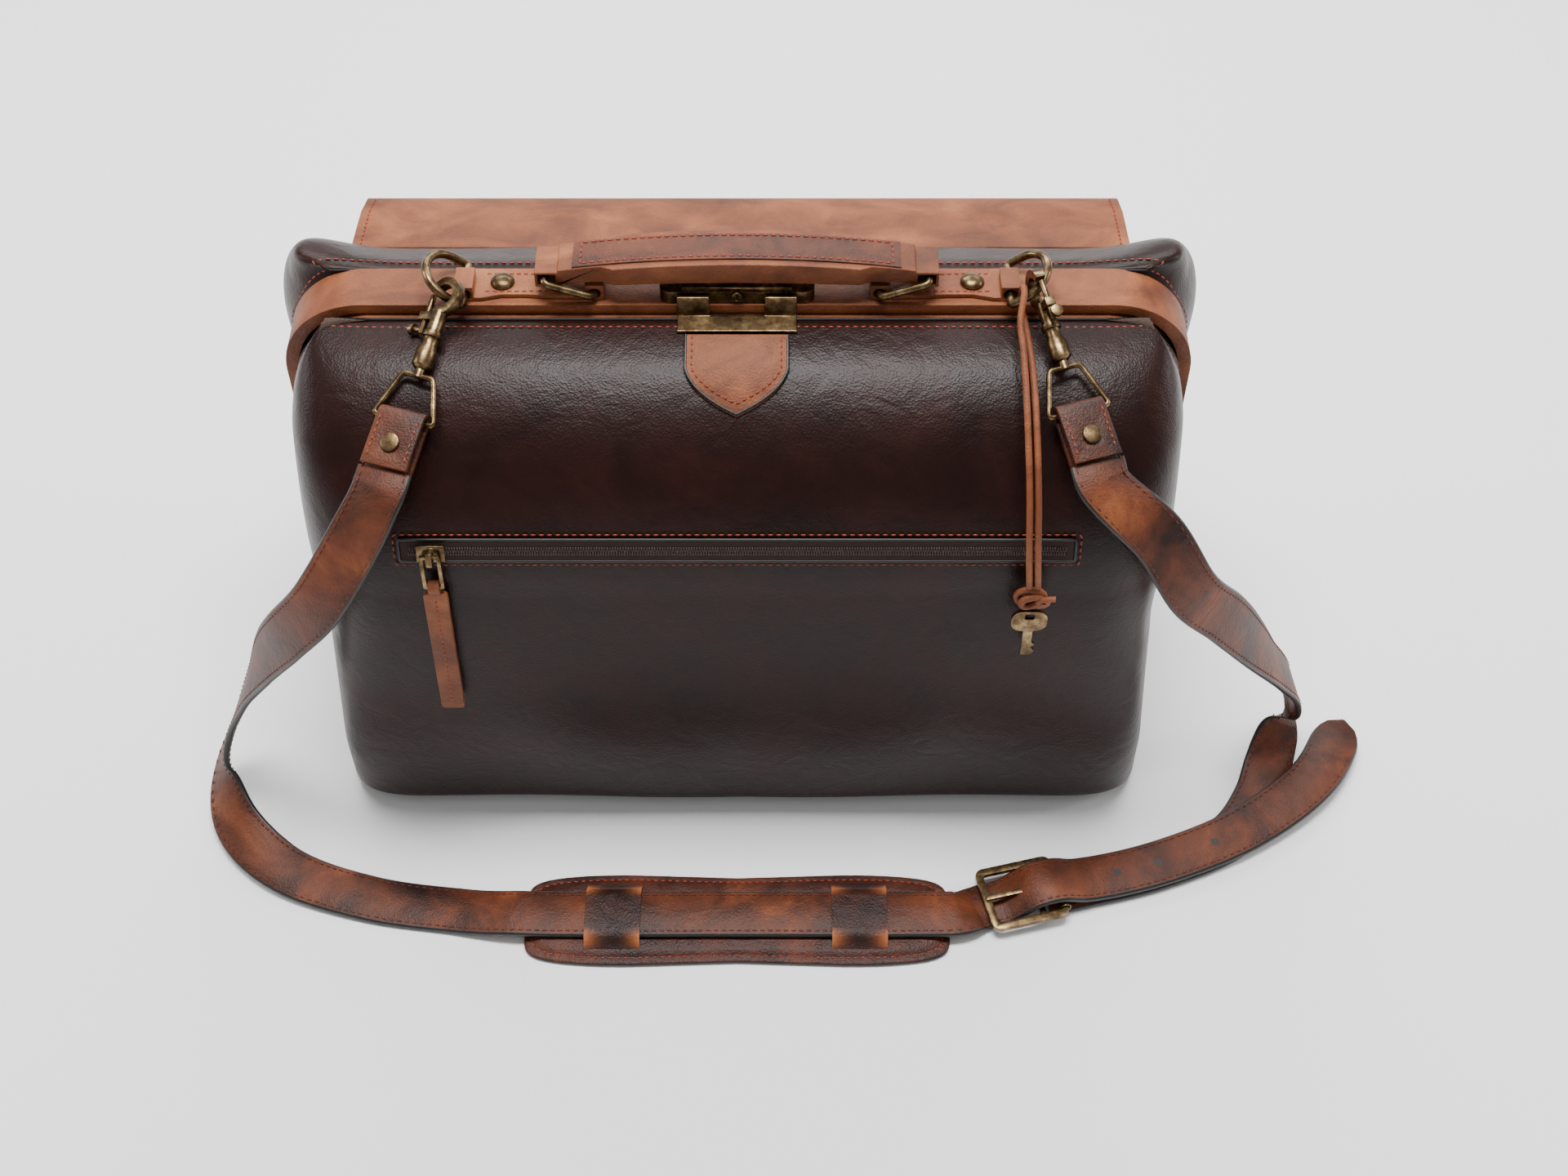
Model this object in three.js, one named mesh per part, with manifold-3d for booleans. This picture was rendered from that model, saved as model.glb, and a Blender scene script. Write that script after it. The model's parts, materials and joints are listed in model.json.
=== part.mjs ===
// Doctor bag with a hinged mouth frame, a carrying handle and a long shoulder strap.
// Millimetres, +Z up, the front faces -Y. The origin is the centre of the base's underside.
// The front frame turns on two pins at the sides; the rear frame and the bag's tub stay put.
import * as THREE from 'three';
import { mergeVertices } from 'three/addons/utils/BufferGeometryUtils.js';
import Module from 'manifold-3d';

const wasm = await Module();
wasm.setup();

// ---- Driving dimensions: body ----
const FRAME_HALF_WIDTH = 221;
const FRAME_REACH = 99.5;
const HINGE_HEIGHT = 190;
const TUB_HEIGHT = 148;
const TUB_CORNER = 26;
const LEATHER = 3;
const LAYER_GAP = 0.5;
const TOUCH_GAP = 0.3;
const PANEL_INSET = 2;
const PANEL_START = 16;
const PANEL_END = 112;
const BASE_BOARD = 3;
const LINING_HEIGHT = 94;
const LINING_WALL = 1;
const GUSSET_PLATE = 3;

// ---- Driving dimensions: mouth frame ----
const FRAME_CORNER = 42;
const FRONT_ARM = 11;
const FRONT_CROWN = 12;
const FRAME_FOOT = 180;
const FRONT_DEPTH = 21;
const REAR_ARM = 7;
const REAR_CROWN = 5.5;
const REAR_OVERLAP = 7;
const REAR_DEPTH = 27;
const BAR_THICKNESS = 2;
const BAR_WIDTH = 13;
const PIN_RADIUS = 2.5;
const EYE_RADIUS = 7.5;

// ---- Driving dimensions: rear pocket and flap ----
const POCKET_HALF_WIDTH = 196;
const POCKET_DEPTH = 25;
const POCKET_BOTTOM = 40;
const POCKET_TOP = 205;
const FLAP_HALF_WIDTH = 208;
const FLAP_SAG = 12;
const FLAP_DROP = 72;
const FLAP_THICKNESS = 2.5;

// ---- Driving dimensions: zip and shield tab ----
const ZIP_HALF_LENGTH = 165;
const ZIP_TAPE_SPAN = 7;
const ZIP_ANGLE = 73.5;
const SLIDER_X = -150;
const PULL_LENGTH = 84;
const PULL_WIDTH = 12;
const SHIELD_HALF_WIDTH = 25;
const SHIELD_TIP_ANGLE = 37;

// ---- Driving dimensions: lock, handle and rings ----
const LOCK_LENGTH = 76;
const LOCK_DEPTH = 13;
const LOCK_HEIGHT = 9;
const HASP_HALF_WIDTH = 29.5;
const HANDLE_HALF_LENGTH = 87.3;
const HANDLE_HALF_DEPTH = 13;
const HANDLE_RISE = 6.5;
const CHAPE_INNER = 70;
const CHAPE_OUTER = 134;
const CHAPE_HALF_WIDTH = 10;
const CHAPE_END_HALF = 7.5;
const RING_WIRE = 4;
const RING_REACH = 25.5;
const RING_TILT = 20;
const TURN_GAP = 0.38;
const LOOP_WALL = 1.4;
const D_WIRE = 4.4;
const D_HALF_WIDTH = 17;
const D_REACH = 16;
const D_TILT = 36;
const D_STRAIGHT = 8;

// ---- Driving dimensions: strap ----
const STRAP_WIDTH = 28;
const STRAP_THICKNESS = 3.5;
const FOLD_LENGTH = 26;
const EYE_WIRE = 2.8;
const PAD_LENGTH = 231;
const PAD_WIDTH = 57;
const PAD_THICKNESS = 5;
const PAD_CENTRE = [-2.5, -178];
const BUCKLE_PLACE = [154, -165];
const BUCKLE_TURN = 14;
const BUCKLE_BAR_HEIGHT = 8;
const THONG_RADIUS = 1.7;

// ---- Sizes that follow from the ones above ----
const PANEL_INNER = FRAME_REACH + LAYER_GAP;
const PANEL_OUTER = PANEL_INNER + LEATHER;
const TUB_HALF_DEPTH = PANEL_OUTER + LAYER_GAP + LEATHER;
const TUB_HALF_WIDTH = FRAME_HALF_WIDTH + REAR_ARM;
const PANEL_HALF_WIDTH = FRAME_HALF_WIDTH - PANEL_INSET;
const FRONT_TOP = HINGE_HEIGHT + FRAME_REACH;
const FRONT_BACK_Y = -1;
const FRONT_FRONT_Y = FRONT_BACK_Y - FRONT_DEPTH;
const REAR_TOP = FRONT_TOP + 1 + REAR_CROWN;
const REAR_INNER_HALF = FRAME_HALF_WIDTH + 1;
const REAR_OUTER_HALF = REAR_INNER_HALF + REAR_ARM;
const DECK = REAR_TOP + TOUCH_GAP;
const MID_Y = REAR_DEPTH / 2 - REAR_OVERLAP;
const BAR_HEIGHT = DECK + 4;
const RING_ROOM = RING_WIRE * Math.SQRT1_2 + TURN_GAP;
const D_ROOM = D_WIRE * Math.SQRT1_2 + TURN_GAP;

const rad = THREE.MathUtils.degToRad;
const vec = (x, y, z) => new THREE.Vector3(x, y, z);

// ---- Materials: one new material for every piece ----
const FINISHES = {
  darkLeather: { color: 0x2c1614, roughness: 0.42, metalness: 0 },
  tanLeather: { color: 0x9a5c3e, roughness: 0.6, metalness: 0 },
  padLeather: { color: 0x6b3a28, roughness: 0.58, metalness: 0 },
  brass: { color: 0x7a6a40, roughness: 0.35, metalness: 1 },
  steel: { color: 0x8a8a8c, roughness: 0.4, metalness: 1 },
  cloth: { color: 0x4a3a30, roughness: 0.95, metalness: 0 },
  board: { color: 0x5a4a3a, roughness: 0.9, metalness: 0 },
  zipTape: { color: 0x241512, roughness: 0.9, metalness: 0 },
};

const bag = new THREE.Group();

function add(name, geometry, finish, parent = bag) {
  const mesh = new THREE.Mesh(geometry, new THREE.MeshStandardMaterial(FINISHES[finish]));
  mesh.name = name;
  parent.add(mesh);
  return mesh;
}

// ---- Shape helpers ----
function block(x0, x1, y0, y1, z0, z1) {
  const box = new THREE.BoxGeometry(x1 - x0, y1 - y0, z1 - z0);
  return box.translate((x0 + x1) / 2, (y0 + y1) / 2, (z0 + z1) / 2);
}

function extrude(shape, depth, curveSegments) {
  return new THREE.ExtrudeGeometry(shape, { depth, bevelEnabled: false, curveSegments });
}

function alongZ(shape, z0, z1, curveSegments = 8) {
  return extrude(shape, z1 - z0, curveSegments).translate(0, 0, z0);
}

// An outline in X and Z, given depth along Y.
function alongY(shape, y0, y1, curveSegments = 8) {
  return extrude(shape, y1 - y0, curveSegments).rotateX(Math.PI / 2).translate(0, y1, 0);
}

// An outline in Y and Z, given depth along X.
const YZ_TURN = new THREE.Matrix4().makeBasis(vec(0, 1, 0), vec(0, 0, 1), vec(1, 0, 0));
function alongX(shape, x0, x1, curveSegments = 8) {
  return extrude(shape, x1 - x0, curveSegments).applyMatrix4(YZ_TURN).translate(x0, 0, 0);
}

function polygon(points) {
  return new THREE.Shape(points.map(([x, y]) => new THREE.Vector2(x, y)));
}

function roundedRect(x0, x1, y0, y1, r) {
  const s = new THREE.Shape();
  s.absarc(x1 - r, y0 + r, r, -Math.PI / 2, 0, false);
  s.absarc(x1 - r, y1 - r, r, 0, Math.PI / 2, false);
  s.absarc(x0 + r, y1 - r, r, Math.PI / 2, Math.PI, false);
  s.absarc(x0 + r, y0 + r, r, Math.PI, Math.PI * 1.5, false);
  return s;
}

// A band round the hinge axis, its angles counted from straight up towards the front.
function sector(inner, outer, from, to) {
  const a = rad(90 + from);
  const b = rad(90 + to);
  const s = new THREE.Shape();
  s.absarc(0, HINGE_HEIGHT, outer, a, b, false);
  s.absarc(0, HINGE_HEIGHT, inner, b, a, true);
  return s;
}

// The outline of a frame: two arms joined by a crown with rounded corners.
function arch(half, top, foot, corner, arm, crown) {
  const s = new THREE.Shape();
  const cx = half - corner;
  const cz = top - corner;
  s.moveTo(-half, foot);
  s.lineTo(-half, cz);
  s.absarc(-cx, cz, corner, Math.PI, Math.PI / 2, true);
  s.absarc(cx, cz, corner, Math.PI / 2, 0, true);
  s.lineTo(half, foot);
  s.lineTo(half - arm, foot);
  s.absellipse(cx, cz, corner - arm, corner - crown, 0, Math.PI / 2, false, 0);
  s.absellipse(-cx, cz, corner - arm, corner - crown, Math.PI / 2, Math.PI, false, 0);
  s.lineTo(-half + arm, foot);
  return s;
}

// A cylinder between two points.
function rod(from, to, radius, sides = 20) {
  const axis = to.clone().sub(from);
  const cylinder = new THREE.CylinderGeometry(radius, radius, axis.length(), sides);
  const turn = new THREE.Quaternion().setFromUnitVectors(vec(0, 1, 0), axis.normalize());
  const middle = from.clone().add(to).multiplyScalar(0.5);
  return cylinder.applyQuaternion(turn).translate(middle.x, middle.y, middle.z);
}

// ---- Solid helpers ----
function toSolid(geometry) {
  const bare = geometry.clone();
  bare.deleteAttribute('normal');
  bare.deleteAttribute('uv');
  const merged = mergeVertices(bare, 1e-4);
  return new wasm.Manifold(new wasm.Mesh({
    numProp: 3,
    vertProperties: Float32Array.from(merged.attributes.position.array),
    triVerts: Uint32Array.from(merged.index.array),
  }));
}

function fromSolid(solid) {
  const mesh = solid.getMesh();
  const geometry = new THREE.BufferGeometry();
  geometry.setAttribute('position', new THREE.BufferAttribute(mesh.vertProperties, 3));
  geometry.setIndex(new THREE.BufferAttribute(mesh.triVerts, 1));
  geometry.computeVertexNormals();
  return geometry;
}

function combine({ join, cut = [], keep = [] }) {
  let solid = toSolid(join[0]);
  for (const piece of join.slice(1)) solid = solid.add(toSolid(piece));
  for (const piece of cut) solid = solid.subtract(toSolid(piece));
  for (const piece of keep) solid = solid.intersect(toSolid(piece));
  return fromSolid(solid);
}

// A flat strap swept along stations, each [x, y, z, nx, ny, nz] with n the face's direction.
function strapCurves(stations) {
  const places = stations.map(([x, y, z]) => vec(x, y, z));
  const faces = stations.map((s) => vec(s[3], s[4], s[5]).normalize());
  return [new THREE.CatmullRomCurve3(places), new THREE.CatmullRomCurve3(faces)];
}

function strapSection(width, thickness) {
  const w = width / 2;
  const t = thickness / 2;
  const c = thickness / 5;
  return [[w - c, -t], [w, -t + c], [w, t - c], [w - c, t], [-w + c, t], [-w, t - c], [-w, -t + c],
    [-w + c, -t]];
}

function ribbon(stations, width, thickness, stepsPerStation = 4) {
  const [places, faces] = strapCurves(stations);
  const section = strapSection(width, thickness);
  const sides = section.length;
  const steps = (stations.length - 1) * stepsPerStation;
  const positions = [];
  const index = [];
  for (let i = 0; i <= steps; i += 1) {
    const at = places.getPoint(i / steps);
    const along = places.getTangent(i / steps);
    const side = along.clone().cross(faces.getPoint(i / steps)).normalize();
    const face = side.clone().cross(along).normalize();
    for (const [a, b] of section) {
      const corner = at.clone().addScaledVector(side, a).addScaledVector(face, b);
      positions.push(corner.x, corner.y, corner.z);
    }
  }
  for (let i = 0; i < steps; i += 1) {
    for (let j = 0; j < sides; j += 1) {
      const a = i * sides + j;
      const b = i * sides + ((j + 1) % sides);
      index.push(a, a + sides, b + sides, a, b + sides, b);
    }
  }
  const last = steps * sides;
  for (let j = 1; j < sides - 1; j += 1) {
    index.push(0, j, j + 1);
    index.push(last, last + j + 1, last + j);
  }
  const geometry = new THREE.BufferGeometry();
  geometry.setAttribute('position', new THREE.Float32BufferAttribute(positions, 3));
  geometry.setIndex(index);
  geometry.computeVertexNormals();
  return geometry;
}

// ---- Tub, board, lining and gussets ----
function tub() {
  const outer = roundedRect(-TUB_HALF_WIDTH, TUB_HALF_WIDTH, -TUB_HALF_DEPTH, TUB_HALF_DEPTH, TUB_CORNER);
  const x = TUB_HALF_WIDTH - LEATHER;
  const y = TUB_HALF_DEPTH - LEATHER;
  const inner = roundedRect(-x, x, -y, y, TUB_CORNER - LEATHER);
  return combine({
    join: [alongZ(outer, 0, TUB_HEIGHT, 6)],
    cut: [alongZ(inner, LEATHER, TUB_HEIGHT + 1, 6)],
  });
}
add('body_tub', tub(), 'darkLeather');

const BOARD_TOP = LEATHER + TOUCH_GAP + BASE_BOARD;
function insideTub(clearance) {
  const x = TUB_HALF_WIDTH - LEATHER - clearance;
  const y = TUB_HALF_DEPTH - LEATHER - clearance;
  return roundedRect(-x, x, -y, y, TUB_CORNER - LEATHER - clearance / 2);
}
add('base_board', alongZ(insideTub(2), LEATHER + TOUCH_GAP, BOARD_TOP, 4), 'board');

add('lining', combine({
  join: [alongZ(insideTub(1), BOARD_TOP + TOUCH_GAP, BOARD_TOP + LINING_HEIGHT, 4)],
  cut: [alongZ(insideTub(1 + LINING_WALL), BOARD_TOP + TOUCH_GAP + LINING_WALL, TUB_HEIGHT, 4)],
}), 'cloth');

// The side gusset is a soft fold between the frame's arms, inside the sweep of the frame's corners.
const GUSSET_REACH = FRAME_REACH - FRAME_CORNER + 4;
const GUSSET_X = FRAME_HALF_WIDTH - FRONT_ARM - GUSSET_PLATE - 1;
const GUSSET_FOOT = Math.sqrt((FRAME_REACH - 2) ** 2 - (HINGE_HEIGHT - TUB_HEIGHT) ** 2);
const GUSSET_OUTLINE = polygon([
  [-GUSSET_FOOT, TUB_HEIGHT],
  [GUSSET_FOOT, TUB_HEIGHT],
  [GUSSET_REACH, HINGE_HEIGHT + 4],
  [4, HINGE_HEIGHT + GUSSET_REACH],
  [-4, HINGE_HEIGHT + GUSSET_REACH],
  [-GUSSET_REACH, HINGE_HEIGHT + 4],
]);
add('side_gusset_left', alongX(GUSSET_OUTLINE, -GUSSET_X - GUSSET_PLATE, -GUSSET_X), 'darkLeather');
add('side_gusset_right', alongX(GUSSET_OUTLINE, GUSSET_X, GUSSET_X + GUSSET_PLATE), 'darkLeather');

// ---- Front panel with the notch that lets the hasp swing, and the rear panel ----
const PANEL_SEGMENTS = 14;
const NOTCH_HALF = HASP_HALF_WIDTH + 3;
add('front_panel', combine({
  join: [alongX(sector(PANEL_INNER, PANEL_OUTER, PANEL_START, PANEL_END), -PANEL_HALF_WIDTH,
    PANEL_HALF_WIDTH,
    PANEL_SEGMENTS)],
  cut: [alongX(sector(PANEL_INNER - 5, PANEL_OUTER + 5, PANEL_START - 5, 45), -NOTCH_HALF, NOTCH_HALF, 6)],
}), 'darkLeather');
add('rear_panel', alongX(sector(PANEL_INNER, PANEL_OUTER, -PANEL_END, -PANEL_START), -PANEL_HALF_WIDTH,
  PANEL_HALF_WIDTH, PANEL_SEGMENTS), 'darkLeather');

// ---- Rear pocket and its flap ----
const POCKET_FRONT = TUB_HALF_DEPTH + TOUCH_GAP;
const POCKET_BACK = POCKET_FRONT + POCKET_DEPTH;
add('rear_pocket', combine({
  join: [block(-POCKET_HALF_WIDTH, POCKET_HALF_WIDTH, POCKET_FRONT, POCKET_BACK, POCKET_BOTTOM,
    POCKET_TOP)],
  cut: [block(-POCKET_HALF_WIDTH + LEATHER, POCKET_HALF_WIDTH - LEATHER, POCKET_FRONT + LEATHER,
    POCKET_BACK - LEATHER, POCKET_BOTTOM + LEATHER, POCKET_TOP + 1)],
}), 'darkLeather');

const FLAP_ANGLE = 51;
const FLAP_ROOT = PANEL_OUTER + FLAP_THICKNESS;
const FLAP_HINGE = [FLAP_ROOT * Math.sin(rad(FLAP_ANGLE)),
  HINGE_HEIGHT + FLAP_ROOT * Math.cos(rad(FLAP_ANGLE))];
const FLAP_BACK = POCKET_BACK + 3 + FLAP_THICKNESS;
const FLAP_KNEE = FLAP_HINGE[1] - FLAP_SAG;
const FLAP_SHOULDER = FLAP_HINGE[1] - FLAP_SAG * 0.4;
function flapOutline() {
  const [y, z] = FLAP_HINGE;
  const t = FLAP_THICKNESS;
  return polygon([
    [y, z],
    [FLAP_BACK - 20, FLAP_SHOULDER],
    [FLAP_BACK, FLAP_KNEE],
    [FLAP_BACK, FLAP_KNEE - FLAP_DROP],
    [FLAP_BACK - t, FLAP_KNEE - FLAP_DROP],
    [FLAP_BACK - t, FLAP_KNEE - 1],
    [FLAP_BACK - 20 - t / 2, FLAP_SHOULDER - t],
    [y, z - t],
  ]);
}
add('back_flap', alongX(flapOutline(), -FLAP_HALF_WIDTH, FLAP_HALF_WIDTH), 'tanLeather');

// ---- Mouth frame: steel bars inside leather covers, joined by the side pins ----
function frameBar(half, top, y0, y1, clearance) {
  const corner = FRAME_CORNER - 4;
  const t = BAR_THICKNESS;
  const foot = clearance > 0 ? FRAME_FOOT - 5 : FRAME_FOOT + 1;
  const shape = arch(half + clearance, top + clearance, foot, corner, t + 2 * clearance,
    t + 2 * clearance);
  const pieces = [alongY(shape, y0 - clearance, y1 + clearance, 8)];
  for (const side of [-1, 1]) {
    const inner = side * (half - t - clearance);
    const outer = side * (half + clearance);
    const ends = [vec(inner, 0, HINGE_HEIGHT), vec(outer, 0, HINGE_HEIGHT)];
    pieces.push(rod(ends[0], ends[1], EYE_RADIUS + clearance, 24));
  }
  return pieces;
}

function pinHoles(radius) {
  return [-1, 1].map((side) => rod(
    vec(side * (FRAME_HALF_WIDTH - FRONT_ARM - 3), 0, HINGE_HEIGHT),
    vec(side * (REAR_OUTER_HALF + 3), 0, HINGE_HEIGHT),
    radius,
    24,
  ));
}
const PIN_HOLES = pinHoles(PIN_RADIUS + TOUCH_GAP);

const FRONT_BAR = [FRAME_HALF_WIDTH - 4, FRONT_TOP - 4, FRONT_FRONT_Y + 4, FRONT_FRONT_Y + 4 + BAR_WIDTH];
const reachCylinder = rod(
  vec(-FRAME_HALF_WIDTH - 1, 0, HINGE_HEIGHT),
  vec(FRAME_HALF_WIDTH + 1, 0, HINGE_HEIGHT),
  FRAME_REACH,
  96,
);
add('front_frame_bar', combine({
  join: frameBar(...FRONT_BAR, 0),
  cut: PIN_HOLES,
}), 'steel');
add('front_frame_cover', combine({
  join: [alongY(arch(FRAME_HALF_WIDTH, FRONT_TOP, FRAME_FOOT, FRAME_CORNER, FRONT_ARM, FRONT_CROWN),
    FRONT_FRONT_Y, FRONT_BACK_Y, 8)],
  keep: [reachCylinder],
  cut: [...frameBar(...FRONT_BAR, TOUCH_GAP), ...PIN_HOLES],
}), 'tanLeather');

const REAR_BAR_Y = MID_Y - BAR_WIDTH / 2;
const REAR_BAR = [REAR_OUTER_HALF - 2.7, REAR_TOP - 1.7, REAR_BAR_Y, REAR_BAR_Y + BAR_WIDTH];
add('rear_frame_bar', combine({
  join: frameBar(...REAR_BAR, 0),
  cut: PIN_HOLES,
}), 'steel');
const REAR_BEAM_HALF = FRAME_HALF_WIDTH - FRONT_ARM;
add('rear_frame_cover', combine({
  join: [
    alongY(arch(REAR_OUTER_HALF, REAR_TOP, FRAME_FOOT, FRAME_CORNER + 2, REAR_ARM, REAR_CROWN),
      -REAR_OVERLAP, REAR_DEPTH - REAR_OVERLAP, 8),
    block(-REAR_BEAM_HALF + FRAME_CORNER, REAR_BEAM_HALF - FRAME_CORNER, 1, REAR_DEPTH - REAR_OVERLAP,
      FRONT_TOP - FRONT_CROWN, REAR_TOP - REAR_CROWN + 0.2),
  ],
  cut: [...frameBar(...REAR_BAR, TOUCH_GAP), ...PIN_HOLES],
}), 'tanLeather');

for (const [side, name] of [[-1, 'left'], [1, 'right']]) {
  const inner = side * (FRAME_HALF_WIDTH - FRONT_ARM - 1);
  const outer = side * (REAR_OUTER_HALF + TOUCH_GAP);
  add(`hinge_pin_${name}`, combine({
    join: [
      rod(vec(inner, 0, HINGE_HEIGHT), vec(outer, 0, HINGE_HEIGHT), PIN_RADIUS, 24),
      rod(vec(outer, 0, HINGE_HEIGHT), vec(outer + side * 2, 0, HINGE_HEIGHT), PIN_RADIUS + 3, 24),
    ],
  }), 'brass');
}

// ---- Hasp and shield tab on the front frame ----
const HASP_BASE = FRONT_TOP + TOUCH_GAP;
const HASP_PLATE = 2;
const LUG_INNER = 13.5;
const LUG_Y = -REAR_OVERLAP - 3;
const haspParts = [
  block(-HASP_HALF_WIDTH, HASP_HALF_WIDTH, FRONT_FRONT_Y + 1, LUG_Y + HASP_PLATE, HASP_BASE,
    HASP_BASE + HASP_PLATE),
];
for (const side of [-1, 1]) {
  const x0 = Math.min(side * LUG_INNER, side * HASP_HALF_WIDTH);
  const lugTop = DECK + LOCK_HEIGHT - 2;
  haspParts.push(block(x0, x0 + HASP_HALF_WIDTH - LUG_INNER, LUG_Y, LUG_Y + HASP_PLATE, HASP_BASE,
    lugTop));
}
add('hasp_plate', combine({ join: haspParts }), 'brass');

const SHIELD_TIP_Y = -PANEL_OUTER * Math.sin(rad(SHIELD_TIP_ANGLE));
const SHIELD_TOP_Y = FRONT_FRONT_Y - 2.6;
const SHIELD_SHOULDER_Y = SHIELD_TIP_Y + 20;
const shieldOutline = new THREE.Shape();
shieldOutline.moveTo(-SHIELD_HALF_WIDTH, SHIELD_TOP_Y);
shieldOutline.lineTo(-SHIELD_HALF_WIDTH, SHIELD_SHOULDER_Y);
shieldOutline.quadraticCurveTo(-SHIELD_HALF_WIDTH + 3, SHIELD_TIP_Y + 8, 0, SHIELD_TIP_Y);
shieldOutline.quadraticCurveTo(SHIELD_HALF_WIDTH - 3, SHIELD_TIP_Y + 8, SHIELD_HALF_WIDTH,
  SHIELD_SHOULDER_Y);
shieldOutline.lineTo(SHIELD_HALF_WIDTH, SHIELD_TOP_Y);
const SHIELD_INNER = PANEL_OUTER + LAYER_GAP;
add('shield_tab', combine({
  join: [alongX(sector(SHIELD_INNER, SHIELD_INNER + FLAP_THICKNESS, 5, SHIELD_TIP_ANGLE + 5),
    -SHIELD_HALF_WIDTH - 1, SHIELD_HALF_WIDTH + 1, 10)],
  keep: [alongZ(shieldOutline, HINGE_HEIGHT, REAR_TOP + 20, 8)],
}), 'tanLeather');

// ---- Zip: tape, coil, slider, ring and pull ----
const TAPE_INNER = PANEL_OUTER + TOUCH_GAP;
const COIL_INNER = TAPE_INNER + 1.2 + TOUCH_GAP;
const SLIDER_INNER = COIL_INNER + 1.5 + TOUCH_GAP;
const HALF_TAPE = ZIP_TAPE_SPAN / 2;
add('zip_tape', alongX(sector(TAPE_INNER, TAPE_INNER + 1.2, ZIP_ANGLE - HALF_TAPE, ZIP_ANGLE + HALF_TAPE),
  -ZIP_HALF_LENGTH, ZIP_HALF_LENGTH, 3), 'zipTape');
add('zip_coil', alongX(sector(COIL_INNER, COIL_INNER + 1.5, ZIP_ANGLE - 1, ZIP_ANGLE + 1),
  -ZIP_HALF_LENGTH + 4, ZIP_HALF_LENGTH - 4, 2), 'zipTape');

const RING_PIVOT_R = SLIDER_INNER + 4.6;
const RING_PIVOT = [-RING_PIVOT_R * Math.sin(rad(ZIP_ANGLE)),
  HINGE_HEIGHT + RING_PIVOT_R * Math.cos(rad(ZIP_ANGLE))];
function sliderBody() {
  const plate = alongX(sector(SLIDER_INNER, SLIDER_INNER + 1.6, ZIP_ANGLE - 2.4, ZIP_ANGLE + 2.4),
    SLIDER_X - 7, SLIDER_X + 7, 2);
  const bridge = alongX(sector(SLIDER_INNER + 1.5, SLIDER_INNER + 8, ZIP_ANGLE - 1.9, ZIP_ANGLE + 1.9),
    SLIDER_X - 1.5, SLIDER_X + 1.5, 2);
  const hole = rod(vec(SLIDER_X - 3, ...RING_PIVOT), vec(SLIDER_X + 3, ...RING_PIVOT), 1.9, 12);
  return combine({ join: [plate, bridge], cut: [hole] });
}
add('zip_slider', sliderBody(), 'brass');

// The ring and the pull lie in one sloping plane; local X is across and local Y runs up.
const PULL_SLOPE = 5;
const pullFrame = new THREE.Group();
pullFrame.position.set(SLIDER_X, RING_PIVOT[0], RING_PIVOT[1]);
pullFrame.rotation.set(rad(90 - PULL_SLOPE), 0, 0);
bag.add(pullFrame);
const PULL_RING_LENGTH = 21;
const PULL_RING_WIRE = 1.8;
const ringOuter = roundedRect(-5.2, 5.2, -PULL_RING_LENGTH, PULL_RING_WIRE / 2, 1);
const ringInner = roundedRect(-5.2 + PULL_RING_WIRE, 5.2 - PULL_RING_WIRE,
  -PULL_RING_LENGTH + PULL_RING_WIRE,
  -PULL_RING_WIRE / 2, 0.4);
ringOuter.holes.push(ringInner);
add('zip_ring', alongZ(ringOuter, -PULL_RING_WIRE / 2, PULL_RING_WIRE / 2, 3), 'brass', pullFrame);

const PULL_BAR_Y = -PULL_RING_LENGTH + PULL_RING_WIRE / 2;
function pullTab() {
  const eye = rod(vec(-2.9, PULL_BAR_Y, 0), vec(2.9, PULL_BAR_Y, 0), 3.4, 14);
  const neck = block(-2.9, 2.9, PULL_BAR_Y - 8, PULL_BAR_Y - 2, -1.6, 1.6);
  const tab = alongZ(roundedRect(-PULL_WIDTH / 2, PULL_WIDTH / 2, PULL_BAR_Y - 4 - PULL_LENGTH,
    PULL_BAR_Y - 4, 2),
    -1.6, 1.6, 3);
  const hole = rod(vec(-4, PULL_BAR_Y, 0), vec(4, PULL_BAR_Y, 0), 1.7, 12);
  return combine({ join: [tab, neck, eye], cut: [hole] });
}
add('zip_tab', pullTab(), 'tanLeather', pullFrame);

// ---- Lock on the rear frame ----
const LOCK_FRONT = LUG_Y + HASP_PLATE + 2;
const LOCK_BACK = LOCK_FRONT + LOCK_DEPTH;
const LOCK_TOP = DECK + LOCK_HEIGHT;
const LOCK_HALF = LOCK_LENGTH / 2;
const SLIDE_HALF = 13;
const SLIDE_TRAVEL = 4;
const KEYHOLE_HEIGHT = DECK + 4.4;
const CYLINDER_RADIUS = 2.9;
add('lock_case', combine({
  join: [
    alongZ(roundedRect(-LOCK_HALF, LOCK_HALF, LOCK_FRONT, LOCK_BACK, 5), DECK, LOCK_TOP - 1.8, 5),
    block(-27, 27, LOCK_FRONT + 1.5, LOCK_BACK - 1, LOCK_TOP - 2, LOCK_TOP),
  ],
  cut: [
    block(-SLIDE_HALF - SLIDE_TRAVEL - 1, SLIDE_HALF + 1, LOCK_FRONT + 5, LOCK_BACK - 2.5, LOCK_TOP - 3,
      LOCK_TOP + 1),
    rod(vec(0, LOCK_FRONT - 1, KEYHOLE_HEIGHT), vec(0, LOCK_FRONT + 4, KEYHOLE_HEIGHT),
      CYLINDER_RADIUS + TOUCH_GAP, 20),
  ],
}), 'brass');
add('lock_slide', block(-SLIDE_HALF, SLIDE_HALF, LOCK_FRONT + 5.4, LOCK_BACK - 2.9, LOCK_TOP - 2.7,
  LOCK_TOP + 0.8),
  'brass');
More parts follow.
